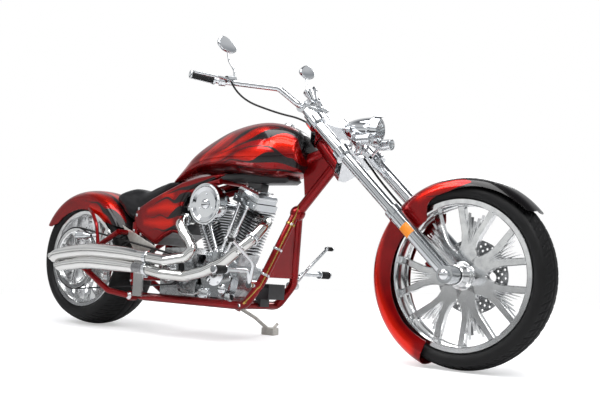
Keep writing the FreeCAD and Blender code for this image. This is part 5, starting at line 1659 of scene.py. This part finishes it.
@dataclass
class Lamps(Assembly):
    """Headlamp with reflector, lens and visor; lenses of the small lamps; reflectors on the sliders."""

    # where the headlamp stands in the steering head's frame, and how far it is turned
    head_at: Row = (176.0, 0.0, -28.0)
    head_turn: float = 138.0
    lens_radius: float = 51.0
    small_radius: float = 21.0
    slider_radius: float = 28.0
    reflector: Row = (-560.0, -508.0)

    def build(self) -> None:
        """Make and dress the pieces."""
        self.headlamp()
        self.small_lamps()
        self.reflectors()

    def headlamp(self) -> None:
        """Bullet shell open to a fluted bowl, a bulb shield, a lens and a hooded bezel."""
        place = self.datum.head @ shift(*self.head_at) @ turn("Y", self.head_turn) @ LATHE_UP
        curve = [(12 + 43 * math.sin(a) ** 0.9, 46 - 132 * math.cos(a) ** 1.25)
                 for a in np.linspace(0.12, 1.45, 16)]
        shell = [(0, -92), (8, -91), *curve, (55, 44), (59, 46), (60.5, 50), (60.5, 57), (58, 61), (50, 61)]
        bowl = [(50 * math.sqrt(t), 4 + 54 * t) for t in np.linspace(1, 0, 14)]
        self.keep(lathe(shell + bowl, place, 72, False))
        self.keep(lathe(((0, 30), (7, 29), (9, 24), (9, 8), (0, 8)), place, 28, False))
        hood = ((51, 60), (58, 60), (62.6, 66), (62.6, 96), (61.2, 96), (60.6, 68), (55, 63), (51, 63))
        self.keep(lathe(hood, place, 40, True, 12, 156))
        self.keep(lathe(((50, 58), (53, 58), (55, 61), (53, 64), (50, 63)), place, 64))
        self.keep(lathe(((0, -97), (5, -96), (8, -92), (8, -88), (0, -88)), place, 28, False))
        r = self.lens_radius
        lens = ((0, 69), (r * 0.4, 68), (r * 0.75, 65.4), (r, 61), (r, 59.6), (r * 0.75, 63.4),
                (r * 0.4, 65.8), (0, 66.8))
        self.keep(lathe(lens, place, 64, False), LAMP_GLASS)
        self.close("headlamp_unit", "fork", "chrome", "headlight")

    def small_lamps(self) -> None:
        """Lenses and rings on the fork's lamps and on the rear pair."""
        r = self.small_radius
        ring = ((r - 1, -3), (r + 1.6, -3), (r + 2.4, 0), (r + 1.6, 2.6), (r - 1, 2.6))
        dome = ((0, 8), (r * 0.4, 7.4), (r * 0.75, 5), (r - 1, 1), (r - 1, -1), (0, -1))
        front = [self.datum.on_head(178, side * 78, -96) + Vector((34, 0, 0)) for side in (1, -1)]
        rear = [Vector((100, side * 226, 446)) for side in (1, -1)]
        for name, body, finish, row, way in (("fork_lamp_lenses", "fork", LAMP_GLASS, front, (1, 0, 0)),
                                             ("rear_lamp_lenses", "chassis", RED_LENS, rear, (-1, 0, 0))):
            for at in row:
                self.keep(lathe(ring, self.aim(at, way), 44))
                self.keep(lathe(dome, self.aim(at, way), 44, False), finish)
            self.close(name, body)

    def reflectors(self) -> None:
        """Amber prism blocks that wrap the outside of both sliders, in thin plated frames."""
        low, high = self.reflector
        r = self.slider_radius
        for side in (-1, 1):
            place = self.datum.leg @ shift(0, side * self.datum.leg_spread, 0) @ LATHE_UP
            for inset, out, finish in ((0.0, 1.4, CHROME), (2.6, 3.0, AMBER)):
                angle = 46 - inset * 1.8
                block = ((r - 1, low + inset), (r + out, low + inset), (r + out, high - inset),
                         (r - 1, high - inset))
                self.keep(lathe(block, place, 20, True, -90 * side - angle, 2 * angle), finish)
        self.close("slider_reflectors", "fork")


# ---- engine, exhaust and frame parts
@dataclass
class Engine(Assembly):
    """What the cast engine wears: caps, collars, gaskets, ribs and rows of screws."""

    deck: float = 355.5
    case_half: float = 72.0
    cam_face: float = 104.0
    gearbox: Row = (690.0, 305.0)
    primary_face: float = 150.0
    # middle of the air cleaner's cover, in the datum
    cleaner_at: Row = (936.0, -214.0, 598.0)
    cam_outline: Table = ((-62, 70), (62, 70), (94, 10), (76, -50), (30, -82), (-30, -82), (-76, -50),
                          (-94, 10))

    def build(self) -> None:
        """Make and dress the pieces."""
        self.heads()
        self.pushrods()
        self.right_side()
        self.left_side()
        self.cleaner()

    def bank(self, side: int) -> Matrix:
        """Frame of one bank, in the datum."""
        return shift(CRANK[0], 0, CRANK[1]) @ turn("Y", side * BANK_ANGLE)

    def heads(self) -> None:
        """Gasket lines, a rib, screws and plugs of the rocker boxes."""
        spots = []
        plug = ((0, 0), (9, 0), (9, 6), (6.4, 8), (6.4, 20), (8, 22), (8, 34), (5, 38), (0, 38))
        for side in (1, -1):
            local = self.bank(side) @ shift(0, 0, self.deck)
            place = self.base @ local
            for low, high, wide, deep, finish in ((-3, 0, 71, 144, BLACK_COAT_AND_SHADE),
                                                  (29, 32, 62.9, 129.8, BLACK_COAT_AND_SHADE),
                                                  (49, 55, 63.6, 131.2, CHROME)):
                band = ((-wide, low), (wide, low), (wide, high), (-wide, high))
                self.keep(slab(band, -28, deep, place, 0.6, 1), finish)
            spots += self.spots([(x, -28 + y, 75) for x in (-38, 0, 38) for y in (-46, 46)], (0, 0, 1), place)
            for y, way in ((-99.6, -1), (43.6, 1)):
                spots += self.spots([(x, y, 15) for x in (-56, -20, 20, 56)], (0, way, 0), place)
            for x in range(-40, 45, 17):
                rib = ((x, 74), (x + 6, 74), (x + 5, 77.5), (x + 1, 77.5))
                self.keep(slab(rib, -28, 84, place, 0.8, 1), SATIN_CHROME)
            way = local.to_3x3() @ Vector((0.25, -1, 0.1))
            self.keep(lathe(plug, self.aim(local @ Vector((26, -55, -34)), way), 24, False), GRIP_RUBBER)
        self.screws(spots, 5.2, 5)
        self.close("rocker_trim")

    def pushrods(self) -> None:
        """Cups, clips and collars of the pushrod tubes."""
        y = -self.case_half - 18
        cup = ((8, 0), (13, 0), (13, 10), (11, 14), (8.2, 16))
        clip = ((8, 0), (10.8, 1), (10.8, 30), (12, 31), (12, 35), (10.8, 36), (8, 37))
        collar = ((8, -16), (11, -14), (13, -10), (13, 0), (8, 0))
        for side in (1, -1):
            for low, high in ((-34, -30), (-8, 22)):
                start = self.bank(side) @ Vector((low * side, y, 70))
                way = self.bank(side) @ Vector((high * side, y, self.deck + 1)) - start
                for share, profile in ((0.16, cup), (0.5, clip), (1, collar)):
                    self.keep(lathe(profile, self.aim(start + way * share, way), 26))
        self.close("pushrod_collars")

    def round_cap(self, at: Row, side: int, r: float, high: float) -> None:
        """Stepped round cover on one side of the engine.

        Args:
            at: middle of its foot.
            side: left (1) or right (-1).
            r: its radius.
            high: its height.
        """
        profile = ((0, high), (r * 0.3, high * 0.98), (r * 0.56, high * 0.86), (r * 0.62, high * 0.7),
                   (r * 0.86, high * 0.6), (r * 0.94, high * 0.4), (r, high * 0.3), (r, 0), (0, 0))
        self.keep(lathe(profile, self.aim(at, (0, side, 0)), 64, False))

    def right_side(self) -> None:
        """Cam cover's caps and screws, the oil pump and the gearbox's end cover."""
        (x, z), (gx, gz) = CRANK, self.gearbox
        face = -self.cam_face
        self.round_cap((x - 8, face, z + 18), -1, 50, 9)
        self.round_cap((x + 40, face, z - 44), -1, 22, 8)
        self.round_cap((gx, -168, gz), -1, 54, 16)
        pump = ((x - 96, z - 92), (x - 34, z - 92), (x - 30, z - 60), (x - 46, z - 44), (x - 92, z - 46))
        self.keep(slab(pump, face + 4, 34, self.base, 4, 3), SATIN_CHROME)
        breather = ((x + 58, z - 100), (x + 96, z - 96), (x + 92, z - 62), (x + 66, z - 58))
        self.keep(slab(breather, face + 14, 40, self.base, 4, 3), SATIN_CHROME)
        for ahead in range(33, 61, 9):
            for u in (x - ahead, x + ahead - 4):
                rib = ((u, z + 74), (u + 4, z + 74), (u + 4, z + 112), (u, z + 112))
                self.keep(slab(rib, face - 1.5, 5, self.base, 0.8, 1), SATIN_CHROME)
        places = [(x + 0.9 * dx, face - 1, z + 0.9 * dz) for dx, dz in self.cam_outline]
        places += circle(5, 44, face - 4, 20, (x - 8, z + 18)) + circle(6, 49, -172, 12, self.gearbox)
        places += [(x + dx, face - 14, z + dz) for dx, dz in ((-84, -84), (-42, -84), (-64, -52))]
        self.screws(self.spots(places, (0, -1, 0)), 4.4, 5)
        for line in (((x - 70, face - 6, z - 60), (x - 110, face - 30, z - 76), (x - 190, face - 26, z - 70),
                      (x - 236, face + 4, z - 30)),
                     ((x + 78, face - 8, z - 78), (x + 120, face - 16, z - 96), (x + 150, -60, z - 100))):
            self.keep(tube(spline(line), 5.2, self.base), DISC_STEEL)
        self.close("cam_side_parts")

    def left_side(self) -> None:
        """Caps, black seals and screws of the primary cover."""
        face = self.primary_face
        for (x, z), r, high in ((self.gearbox, 66, 8), (CRANK, 46, 7)):
            self.round_cap((x, face, z), 1, r, high)
            seal = ((r - 1, -1), (r + 2.6, -1), (r + 2.6, 1.4), (r - 1, 1.4))
            self.keep(lathe(seal, self.aim((x, face, z), (0, 1, 0)), 64), BLACK_COAT_AND_SHADE)
        window = loop_line(((770, 262), (850, 250), (858, 290), (850, 312), (770, 330), (760, 296)), 5)
        self.keep(slab(window, face + 2, 6, self.base, 2, 2))
        places = [(812, face + 1, 372), (812, face + 1, 212)]
        for (x, z), r, angles in ((CRANK, 80, (-80, -40, 0, 40, 80)),
                                  (self.gearbox, 92, (98, 140, 180, 220, 262))):
            places += [(x + r * math.cos(a), face + 1, z + r * math.sin(a)) for a in np.radians(angles)]
        places += circle(5, 58, face + 4, 18, self.gearbox)
        self.screws(self.spots(places, (0, 1, 0)), 5, 5)
        self.close("primary_trim")

    def cleaner(self) -> None:
        """Domed centre, bead and screws of the air cleaner's cover."""
        x, face, z = self.cleaner_at
        place = self.aim((x, face, z), (0, -1, 0))
        self.keep(lathe(((0, 7), (6, 6.6), (13, 5), (18, 2), (21, -1), (0, -1)), place, 48, False))
        self.keep(lathe(((74, -1), (76, 1.6), (80, 2.2), (84, 1.6), (86, -1)), place, 96))
        places = circle(3, 42, face + 5, 90, (x, z)) + [(x - 106, face + 33, z), (x - 30, face + 33, z + 86)]
        self.screws(self.spots(places, (0, -1, 0)), 4.6, 4)
        self.close("air_cleaner_trim")


@dataclass
class Exhaust(Assembly):
    """Swelling skins of the mufflers, clamps round the pipe joints and the perforated guard."""

    offset: float = 262.0
    guard_radius: float = 25.8
    guard_rows: int = 7
    guard_columns: int = 12
    # centre line of each muffler's swollen skin (x, z), its radius at the ends and how far it swells
    skins: tuple[tuple[Table, float, float], ...] = (
        (((592, 356), (470, 366), (240, 372), (20, 350), (-44, 330)), 26.7, 7.4),
        (((560, 303.8), (470, 308), (240, 314), (110, 301), (54, 295.4)), 24.7, 6.0))

    def build(self) -> None:
        """Make and dress the pieces."""
        for route, radius, swell in self.skins:
            line = spline([(x, -self.offset, z) for x, z in route], 14)
            share = np.linspace(0, 1, len(line))
            self.keep(tube(line, list(radius + swell * np.sin(np.pi * share ** 0.85) ** 1.3), self.base, 48),
                      MUFFLER_CHROME)
        self.close("muffler_skins")
        self.clamps()
        self.guard()
        self.close("exhaust_clamps_and_guard")

    def clamps(self) -> None:
        """Bands with a pair of lugs and a screw."""
        y, spots = -self.offset, []
        band = mirrored(((30.4, 7), (29, 9), (25, 9)))
        lug = ((-7, -27), (7, -27), (7, -39), (-7, -39))
        for at, way in (((644, y, 351.6), (-170, 0, 14)), ((644, y, 299.6), (-170, 0, 8)),
                        ((1188, -176, 452), (0, -70, -60)), ((738, -128, 534.6), (0, -1, -0.09))):
            place = self.aim(at, way)
            self.keep(lathe(band, place, 48))
            for across in (-4.5, 4.5):
                self.keep(slab(lug, across, 3.4, place @ turn("Z", 90), 1, 2))
            spots += self.spots([(0, 7, -34)], (0, 1, 0), place @ turn("Z", 90))
        self.screws(spots, 4.2, 4, Head.HEX, 0.8)

    def guard(self) -> None:
        """Plate bent round the lower pipe's joint, with staggered black discs laid on as painted shade for
        its holes.
        """
        place, r = self.aim((600, -self.offset, 304), (-170, 0, 8)), self.guard_radius
        plate = ((r - 1, -34), (r + 0.9, -34), (r + 0.9, 34), (r - 1, 34))
        self.keep(lathe(plate, place, 36, True, 124, 112), DISC_STEEL)
        hole_shades = []
        for i in range(self.guard_rows):
            for j in range(self.guard_columns):
                angle = math.radians(134 + 92 * (i + (j % 2) * 0.5) / (self.guard_rows - 0.5))
                aim = (math.cos(angle), 0, math.sin(angle))
                at = ((r + 0.7) * aim[0], -30 + 60 * j / (self.guard_columns - 1), (r + 0.7) * aim[2])
                hole_shades += self.spots([at], aim, place)
        # painted shade: flat black discs stand for the dark inside each hole
        self.screws(hole_shades, 2.1, 0.7, dome=0.9, finish=BLACK_COAT_AND_SHADE)


@dataclass
class FrameParts(Assembly):
    """Brass line and clips, axle and pivot caps, peg rubbers, a black pan of painted shade under the tank
    with the coil pack, and frame bolts.
    """

    peg: Row = (1180.0, 320.0, 318.0)
    toe: Row = (1212.0, 320.0, 440.0)
    peg_radius: float = 17.0
    tube_radius: float = 19.0
    line_mm: float = 6.4

    def build(self) -> None:
        """Make and dress the pieces."""
        self.brass_line()
        self.caps()
        self.pegs()
        self.shade_pan_and_coil()
        self.mounts()

    def brass_line(self) -> None:
        """Hard brass line down the right downtube, held by plated clips."""
        route = ((1303, -24, 606), (1296, -28, 566), (1262, -66, 448), (1212, -126, 272), (1196, -135, 246),
                 (1164, -135, 214), (1132, -134, 186))
        half = self.line_mm / 2
        self.keep(tube(spline(route, 6), half, self.base, 12), BRASS)
        start, end = Vector((1277, -14, 561)), Vector((1195, -112, 270))
        r = self.tube_radius
        clip = mirrored(((r + 2.2, 0), (r + 1.6, 5), (r - 0.5, 5)))
        loop = mirrored(((half + 1.6, 5), (half, 5)))
        for share in (0.12, 0.5, 0.88):
            at = start + (end - start) * share
            self.keep(lathe(clip, self.aim(at, end - start), 44), BRASS if share < 0.2 else CHROME)
            self.keep(lathe(loop, self.aim(at + Vector((17.2, -14.3, 0)), end - start), 20))
        nut = ((3, -2), (7, -2), (7, 8), (5, 12), (3, 12))
        self.keep(lathe(nut, self.aim(route[-1], (-0.75, 0.02, -0.65)), 6), BRASS)
        self.close("brass_line_and_clips")

    def caps(self) -> None:
        """Domed caps over the axle ends and pivots, and screws along the cradle."""
        cap = ((0, 9), (7, 8.6), (13, 6.6), (17.6, 3), (19, 0), (19, -6), (0, -6))
        for name, body, row in (
                ("front_axle_caps", "fork", ((self.datum.front, 0, 156, 0),)),
                ("rear_axle_and_pivot_caps", "chassis",
                 ((self.datum.rear, 0, 209, 0), (self.base, 436, 171, 168)))):
            for place, x, y, z in row:
                for side in (-1, 1):
                    self.keep(lathe(cap, place @ aimed((x, side * y, z), (0, side, 0)), 40, False))
            if body == "chassis":
                spots = []
                for side in (-1, 1):
                    bolts = [(x, side * 131.5, z) for x, z in ((400, 240), (398, 330), (400, 480))]
                    spots += self.spots(bolts, (0, side, 0))
                self.screws(spots, 7, 5, dome=0.6)
            self.close(name, body)

    def pegs(self) -> None:
        """Pegs of ribbed rubber between plated ends."""
        r = self.peg_radius
        core = ((0, 0), (r, 0), (r, 6), (r - 2.5, 8), (r - 2.5, 71), (r, 73), (r, 77), (r - 3, 80), (0, 80))
        toe = ((0, -1), (8, -1), (9, 1), (9, 5), (8, 7), (8, 45), (9.5, 47), (9.5, 50), (7, 53), (0, 53))
        for side in (-1, 1):
            for (x, y, z), profile, steps, rings, low, high in (
                    (self.peg, core, 44, (13, r - 2.5, 4.8), 11, 69),
                    (self.toe, toe, 32, (9, 8, 3.8), 10, 43)):
                place = self.aim((x, side * y, z), (0, side, 0))
                self.keep(lathe(profile, place, steps, False))
                row = RingRow(self.shop.get(GRIP_RUBBER), *rings)
                self.parts.append(row.build(place @ Vector((0, low, 0)), place @ Vector((0, high, 0))))
        self.close("peg_rubbers", "chassis", "rubber", "foot_pegs")

    def shade_pan_and_coil(self) -> None:
        """Black pan under the tank as painted shade for the dark under it, with the coil pack hung below."""
        pan = ((868, 724), (880, 714), (1000, 706), (1012, 704), (1240, 700), (1262, 712), (1250, 728),
               (1010, 748), (880, 752), (868, 742))
        # painted shade: the black pan fills the dark under the tank; the coil pack and its ribs are parts
        self.keep(slab(pan, 0, 92, self.base, 4, 3), BLACK_COAT_AND_SHADE)
        coil = ((1040, 668), (1120, 664), (1126, 700), (1044, 706))
        self.keep(slab(coil, -34, 52, self.base, 5, 3), BLACK_COAT_AND_SHADE)
        for x in range(1048, 1109, 15):
            rib = ((x, 660), (x + 6, 660), (x + 6, 672), (x, 672))
            self.keep(slab(rib, -34, 46, self.base, 1, 1), BLACK_COAT_AND_SHADE)
        self.close("under_tank_shade_pan", "chassis", "black_metal")

    def mounts(self) -> None:
        """Bolts of the engine and gearbox mounts along the cradle."""
        spots = []
        for side in (-1, 1):
            spots += self.spots([(1098, side * 132, 168)], (0, side, 0))
            spots += self.spots([(x, side * 112, 176.5) for x in (1000, 830, 640)], (0, 0, 1))
        self.screws(spots, 7.5, 6, Head.HEX, 0.8)
        self.close("frame_mount_bolts")


@dataclass
class Finishes(Assembly):
    """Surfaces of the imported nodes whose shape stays."""

    table: tuple[tuple[Finish | FinShadePaint, tuple[str, ...]], ...] = (
        (CHROME, ("triple_trees", "fork_tubes", "front_axle", "handlebar", "hand_controls",
                  "headlight_bracket", "fork_lamps", "air_cleaner", "pushrod_tubes", "rear_lamps",
                  "rear_axle", "foot_controls", "gauge")),
        (PIPE_CHROME, ("exhaust_pipes",)),
        (MUFFLER_CHROME, ("mufflers",)),
        (SATIN_CHROME, ("fork_sliders", "rocker_boxes", "cam_cover", "primary_case")),
        (CASE_ALLOY, ("crankcase", "gearbox")),
        (FinShadePaint(), ("cylinders",)),
        (BLACK_COAT_AND_SHADE, ("regulator",)),
        (FRAME_RED, ("frame", "swingarm", "fender_struts", "front_caliper")),
        (GRIP_RUBBER, ("drive_belt", "control_cable", "brake_hose")),
        (ZINC, ("side_stand",)))

    def build(self) -> None:
        """Dress every node of the table, then the turned parts round their own axles."""
        for finish, nodes in self.table:
            for node in nodes:
                self.dress(node, finish)
        front, rear = self.datum.front.translation, self.datum.rear.translation
        for node, finish, centre in (("front_disc", DISC_STEEL, front), ("rear_disc", DISC_STEEL, rear),
                                     ("rear_pulley", BILLET, rear)):
            self.dress(node, finish, centre)

    def dress(self, node: str, finish: Finish | FinShadePaint, centre: Vector | None = None) -> None:
        """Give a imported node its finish.

        Args:
            node: name of the node.
            finish: what its surface is.
            centre: point that a turned pattern goes round.
        """
        made, material = self.frame["nodes"][node], self.shop.get(finish, centre)
        if not made.material_slots:
            made.data.materials.append(material)
        for slot in made.material_slots:
            slot.material = material
        log.info("finish %s on %s", finish.name, node)


# ---- studio
@dataclass
class Studio:
    """Plain pale floor, soft lamps, white backdrop and the camera."""

    look_at: Row = (-0.088, -0.077, 0.45)
    stand_at: Row = (2.540, -3.036, 0.524)
    roll: float = 0.68
    lens: float = 52.96
    shift: Row = (0.112, 0.068)
    # height on the sky, colour: a dark skirting, bright walls with one grey strip, a darker ceiling
    walls: tuple[tuple[float, str], ...] = (
        (0.0, "26282A"), (1.0, "4A4C50"), (0.035, "3A3C3F"), (0.085, "F2F3F3"), (0.24, "F0F1F1"),
        (0.36, "A2A5A9"), (0.46, "DADBDD"), (0.6, "E2E3E4"), (0.76, "77797D"))
    floor_near: float = 1.5
    floor_far: float = 3.2

    def build(self) -> None:
        """Set up everything that isn't the machine."""
        self.camera()
        self.floor()
        self.lamps()
        self.world()

    def camera(self) -> None:
        """Camera at the viewing angle."""
        data = bpy.data.cameras.new("camera")
        data.lens, data.sensor_width = self.lens, 36.0
        data.shift_x, data.shift_y = self.shift
        made = linked("camera", data)
        way = Vector(self.look_at) - Vector(self.stand_at)
        turned = way.to_track_quat("-Z", "Y").to_matrix().to_4x4() @ turn("Z", self.roll)
        made.matrix_world = Matrix.Translation(self.stand_at) @ turned
        bpy.context.scene.camera = made

    def floor(self) -> None:
        """Pale floor that keeps the shadow; the camera sees it near white."""
        mesh = bpy.data.meshes.new("studio_floor")
        mesh.from_pydata([(-14, -14, 0), (14, -14, 0), (14, 14, 0), (-14, 14, 0)], [], [(0, 1, 2, 3)])
        material = bpy.data.materials.new("studio_floor")
        material.use_nodes = True
        tree = material.node_tree
        tree.nodes.clear()
        matt = add(tree, "BsdfDiffuse", {"Color": linear("E4E4E5")})
        glow = add(tree, "Emission", {"Color": linear("FFFFFF"), "Strength": 0.42})
        far = add(tree, "Emission", {"Color": linear("FFFFFF"), "Strength": 1.0})
        near = add(tree, "AddShader", (matt, glow))
        reach = add(tree, "VectorMath", (add(tree, "TexCoord").outputs["Object"],), operation="LENGTH")
        fade = add(tree, "MapRange", (reach, self.floor_near, self.floor_far),
                   interpolation_type="SMOOTHSTEP")
        seen = add(tree, "LightPath").outputs["Is Camera Ray"]
        pick = add(tree, "MixShader", (seen, matt, add(tree, "MixShader", (fade, near, far))))
        add(tree, "OutputMaterial", (pick,))
        mesh.materials.append(material)
        linked("studio_floor", mesh)

    def lamps(self) -> None:
        """Soft boxes: one overhead, one at each side of the camera, one behind."""
        for name, at, aim, size, power in (
                ("overhead", (0.2, -0.4, 3.0), (0.0, 0.0, 0.4), 2.2, 84),
                ("front_left", (-1.0, -2.6, 3.4), (0.0, 0.0, 0.4), 1.8, 70),
                ("front_right", (3.0, -1.2, 3.0), (0.6, 0.0, 0.3), 1.4, 50),
                ("behind", (-0.6, 3.2, 2.4), (0.0, 0.0, 0.6), 1.6, 40)):
            data = bpy.data.lights.new(name, "AREA")
            data.size, data.energy = size, power
            made = linked(name, data)
            made.location = at
            made.rotation_euler = (Vector(aim) - Vector(at)).to_track_quat("-Z", "Y").to_euler()

    def world(self) -> None:
        """White for the eye; for light and reflections a studio that darkens overhead."""
        world = bpy.data.worlds.new("studio")
        bpy.context.scene.world = world
        world.use_nodes = True
        tree = world.node_tree
        tree.nodes.clear()
        sky = add(tree, "SeparateXYZ", (add(tree, "TexCoord").outputs["Generated"],)).outputs["Z"]
        tone = add(tree, "ValToRGB", (sky,))
        for number, (at, code) in enumerate(self.walls):
            stop = tone.color_ramp.elements[number] if number < 2 else tone.color_ramp.elements.new(at)
            stop.position, stop.color = at, linear(code)
        seen = add(tree, "LightPath").outputs["Is Camera Ray"]
        colour = add(tree, "Mix", {0: seen, 6: tone, 7: linear("FFFFFF")}, data_type="RGBA")
        add(tree, "OutputWorld", (add(tree, "Background", {"Color": colour, "Strength": 1.0}),))


FRONT_EDGE: Table = ((38, 400), (42, 346), (60, 339), (80, 328), (98, 306), (110, 298), (116, 284),
                     (121, 232), (134, 232), (146, 258), (170, 262), (198, 268), (222, 272), (247, 266))
REAR_EDGE: Table = ((22, 400), (27, 346), (34, 304), (46, 256), (75, 251), (110, 251), (138, 262), (148, 296),
                    (152, 400))
# distance round the wheel, distance from the crown, half width of the stroke
FRONT_LICKS: Strokes = (
    ((150, 0, 90), (420, 0, 90), (520, 8, 60), (566, 34, 22), (630, 56, 9), (705, 50, 4), (790, 62, 1)),
    ((150, 100, 70), (430, 100, 60), (512, 98, 24), (570, 104, 9), (650, 118, 3.4), (730, 104, 1)),
    ((520, 0, 30), (600, 4, 12), (700, 0, 4), (800, 6, 1)),
    ((740, 2, 1), (840, 8, 10), (940, 2, 15), (1060, 10, 9), (1160, 2, 5), (1290, 6, 1)),
    ((900, 62, 1), (1000, 56, 5), (1100, 62, 8), (1200, 58, 4), (1320, 64, 1)))
# painted highlight: strokes where the red is drawn brighter, in the same columns as the licks
FRONT_PAINTED_HIGHLIGHTS: Strokes = (
    ((600, 80, 14), (680, 80, 18), (760, 90, 8)), ((640, 26, 12), (720, 26, 16), (820, 34, 6)),
    ((930, 54, 16), (1060, 62, 26), (1200, 66, 34), (1380, 70, 44), (1500, 70, 44)))
REAR_LICKS: Strokes = (
    ((60, 30, 60), (190, 36, 50), (286, 44, 32), (350, 66, 15), (420, 62, 5), (500, 76, 2.4), (590, 66, 1)),
    ((60, 130, 60), (190, 130, 40), (280, 140, 26), (340, 164, 12), (410, 156, 5), (490, 170, 2.4),
     (580, 160, 1)),
    ((60, 0, 40), (200, 0, 40), (300, 6, 18), (380, 2, 8), (470, 10, 3), (580, 4, 1)),
    ((60, 230, 40), (190, 226, 22), (260, 226, 9), (330, 236, 3), (420, 226, 1)))
# painted highlight: strokes where the red is drawn brighter, in the same columns as the licks
REAR_PAINTED_HIGHLIGHTS: Strokes = (
    ((330, 104, 14), (400, 108, 20), (480, 116, 12), (560, 112, 4)),
    ((360, 32, 12), (440, 36, 16), (540, 40, 5)), ((300, 190, 12), (380, 196, 18), (470, 200, 10)))


def main() -> None:
    """Build and dress the machine."""
    logging.basicConfig(level=logging.INFO, format="%(message)s")
    bpy.context.scene.view_settings.view_transform = "Standard"
    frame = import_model()
    joints = {joint["name"]: joint for joint in frame["record"]["behaviour"]["joints"]}
    datum = Datum(joints)
    shop = FinishShop(datum.chassis)
    Studio().build()
    shared = (frame, datum, shop)
    Lines(*shared).build()
    Finishes(*shared).build()
    Wheel(*shared).build()
    Wheel(*shared, end=End.REAR, tyre_radius=333, tyre_width=250, crown=210, rim_radius=246, rim_width=226,
          hub_half=164, disc_at=122, pitches=52, block_mm=5).build()
    Tank(*shared).build()
    Fender(*shared, edge=FRONT_EDGE, sweep=209, licks=FRONT_LICKS, lights=FRONT_PAINTED_HIGHLIGHTS).build()
    Fender(*shared, end=End.REAR, radius=357, half=136, start=24, sweep=127, edge=REAR_EDGE, licks=REAR_LICKS,
           lights=REAR_PAINTED_HIGHLIGHTS).build()
    Bodywork(*shared).build()
    for group in (Cockpit, Lamps, Engine, Exhaust, FrameParts):
        group(*shared).build()


if __name__ == "__main__":
    main()
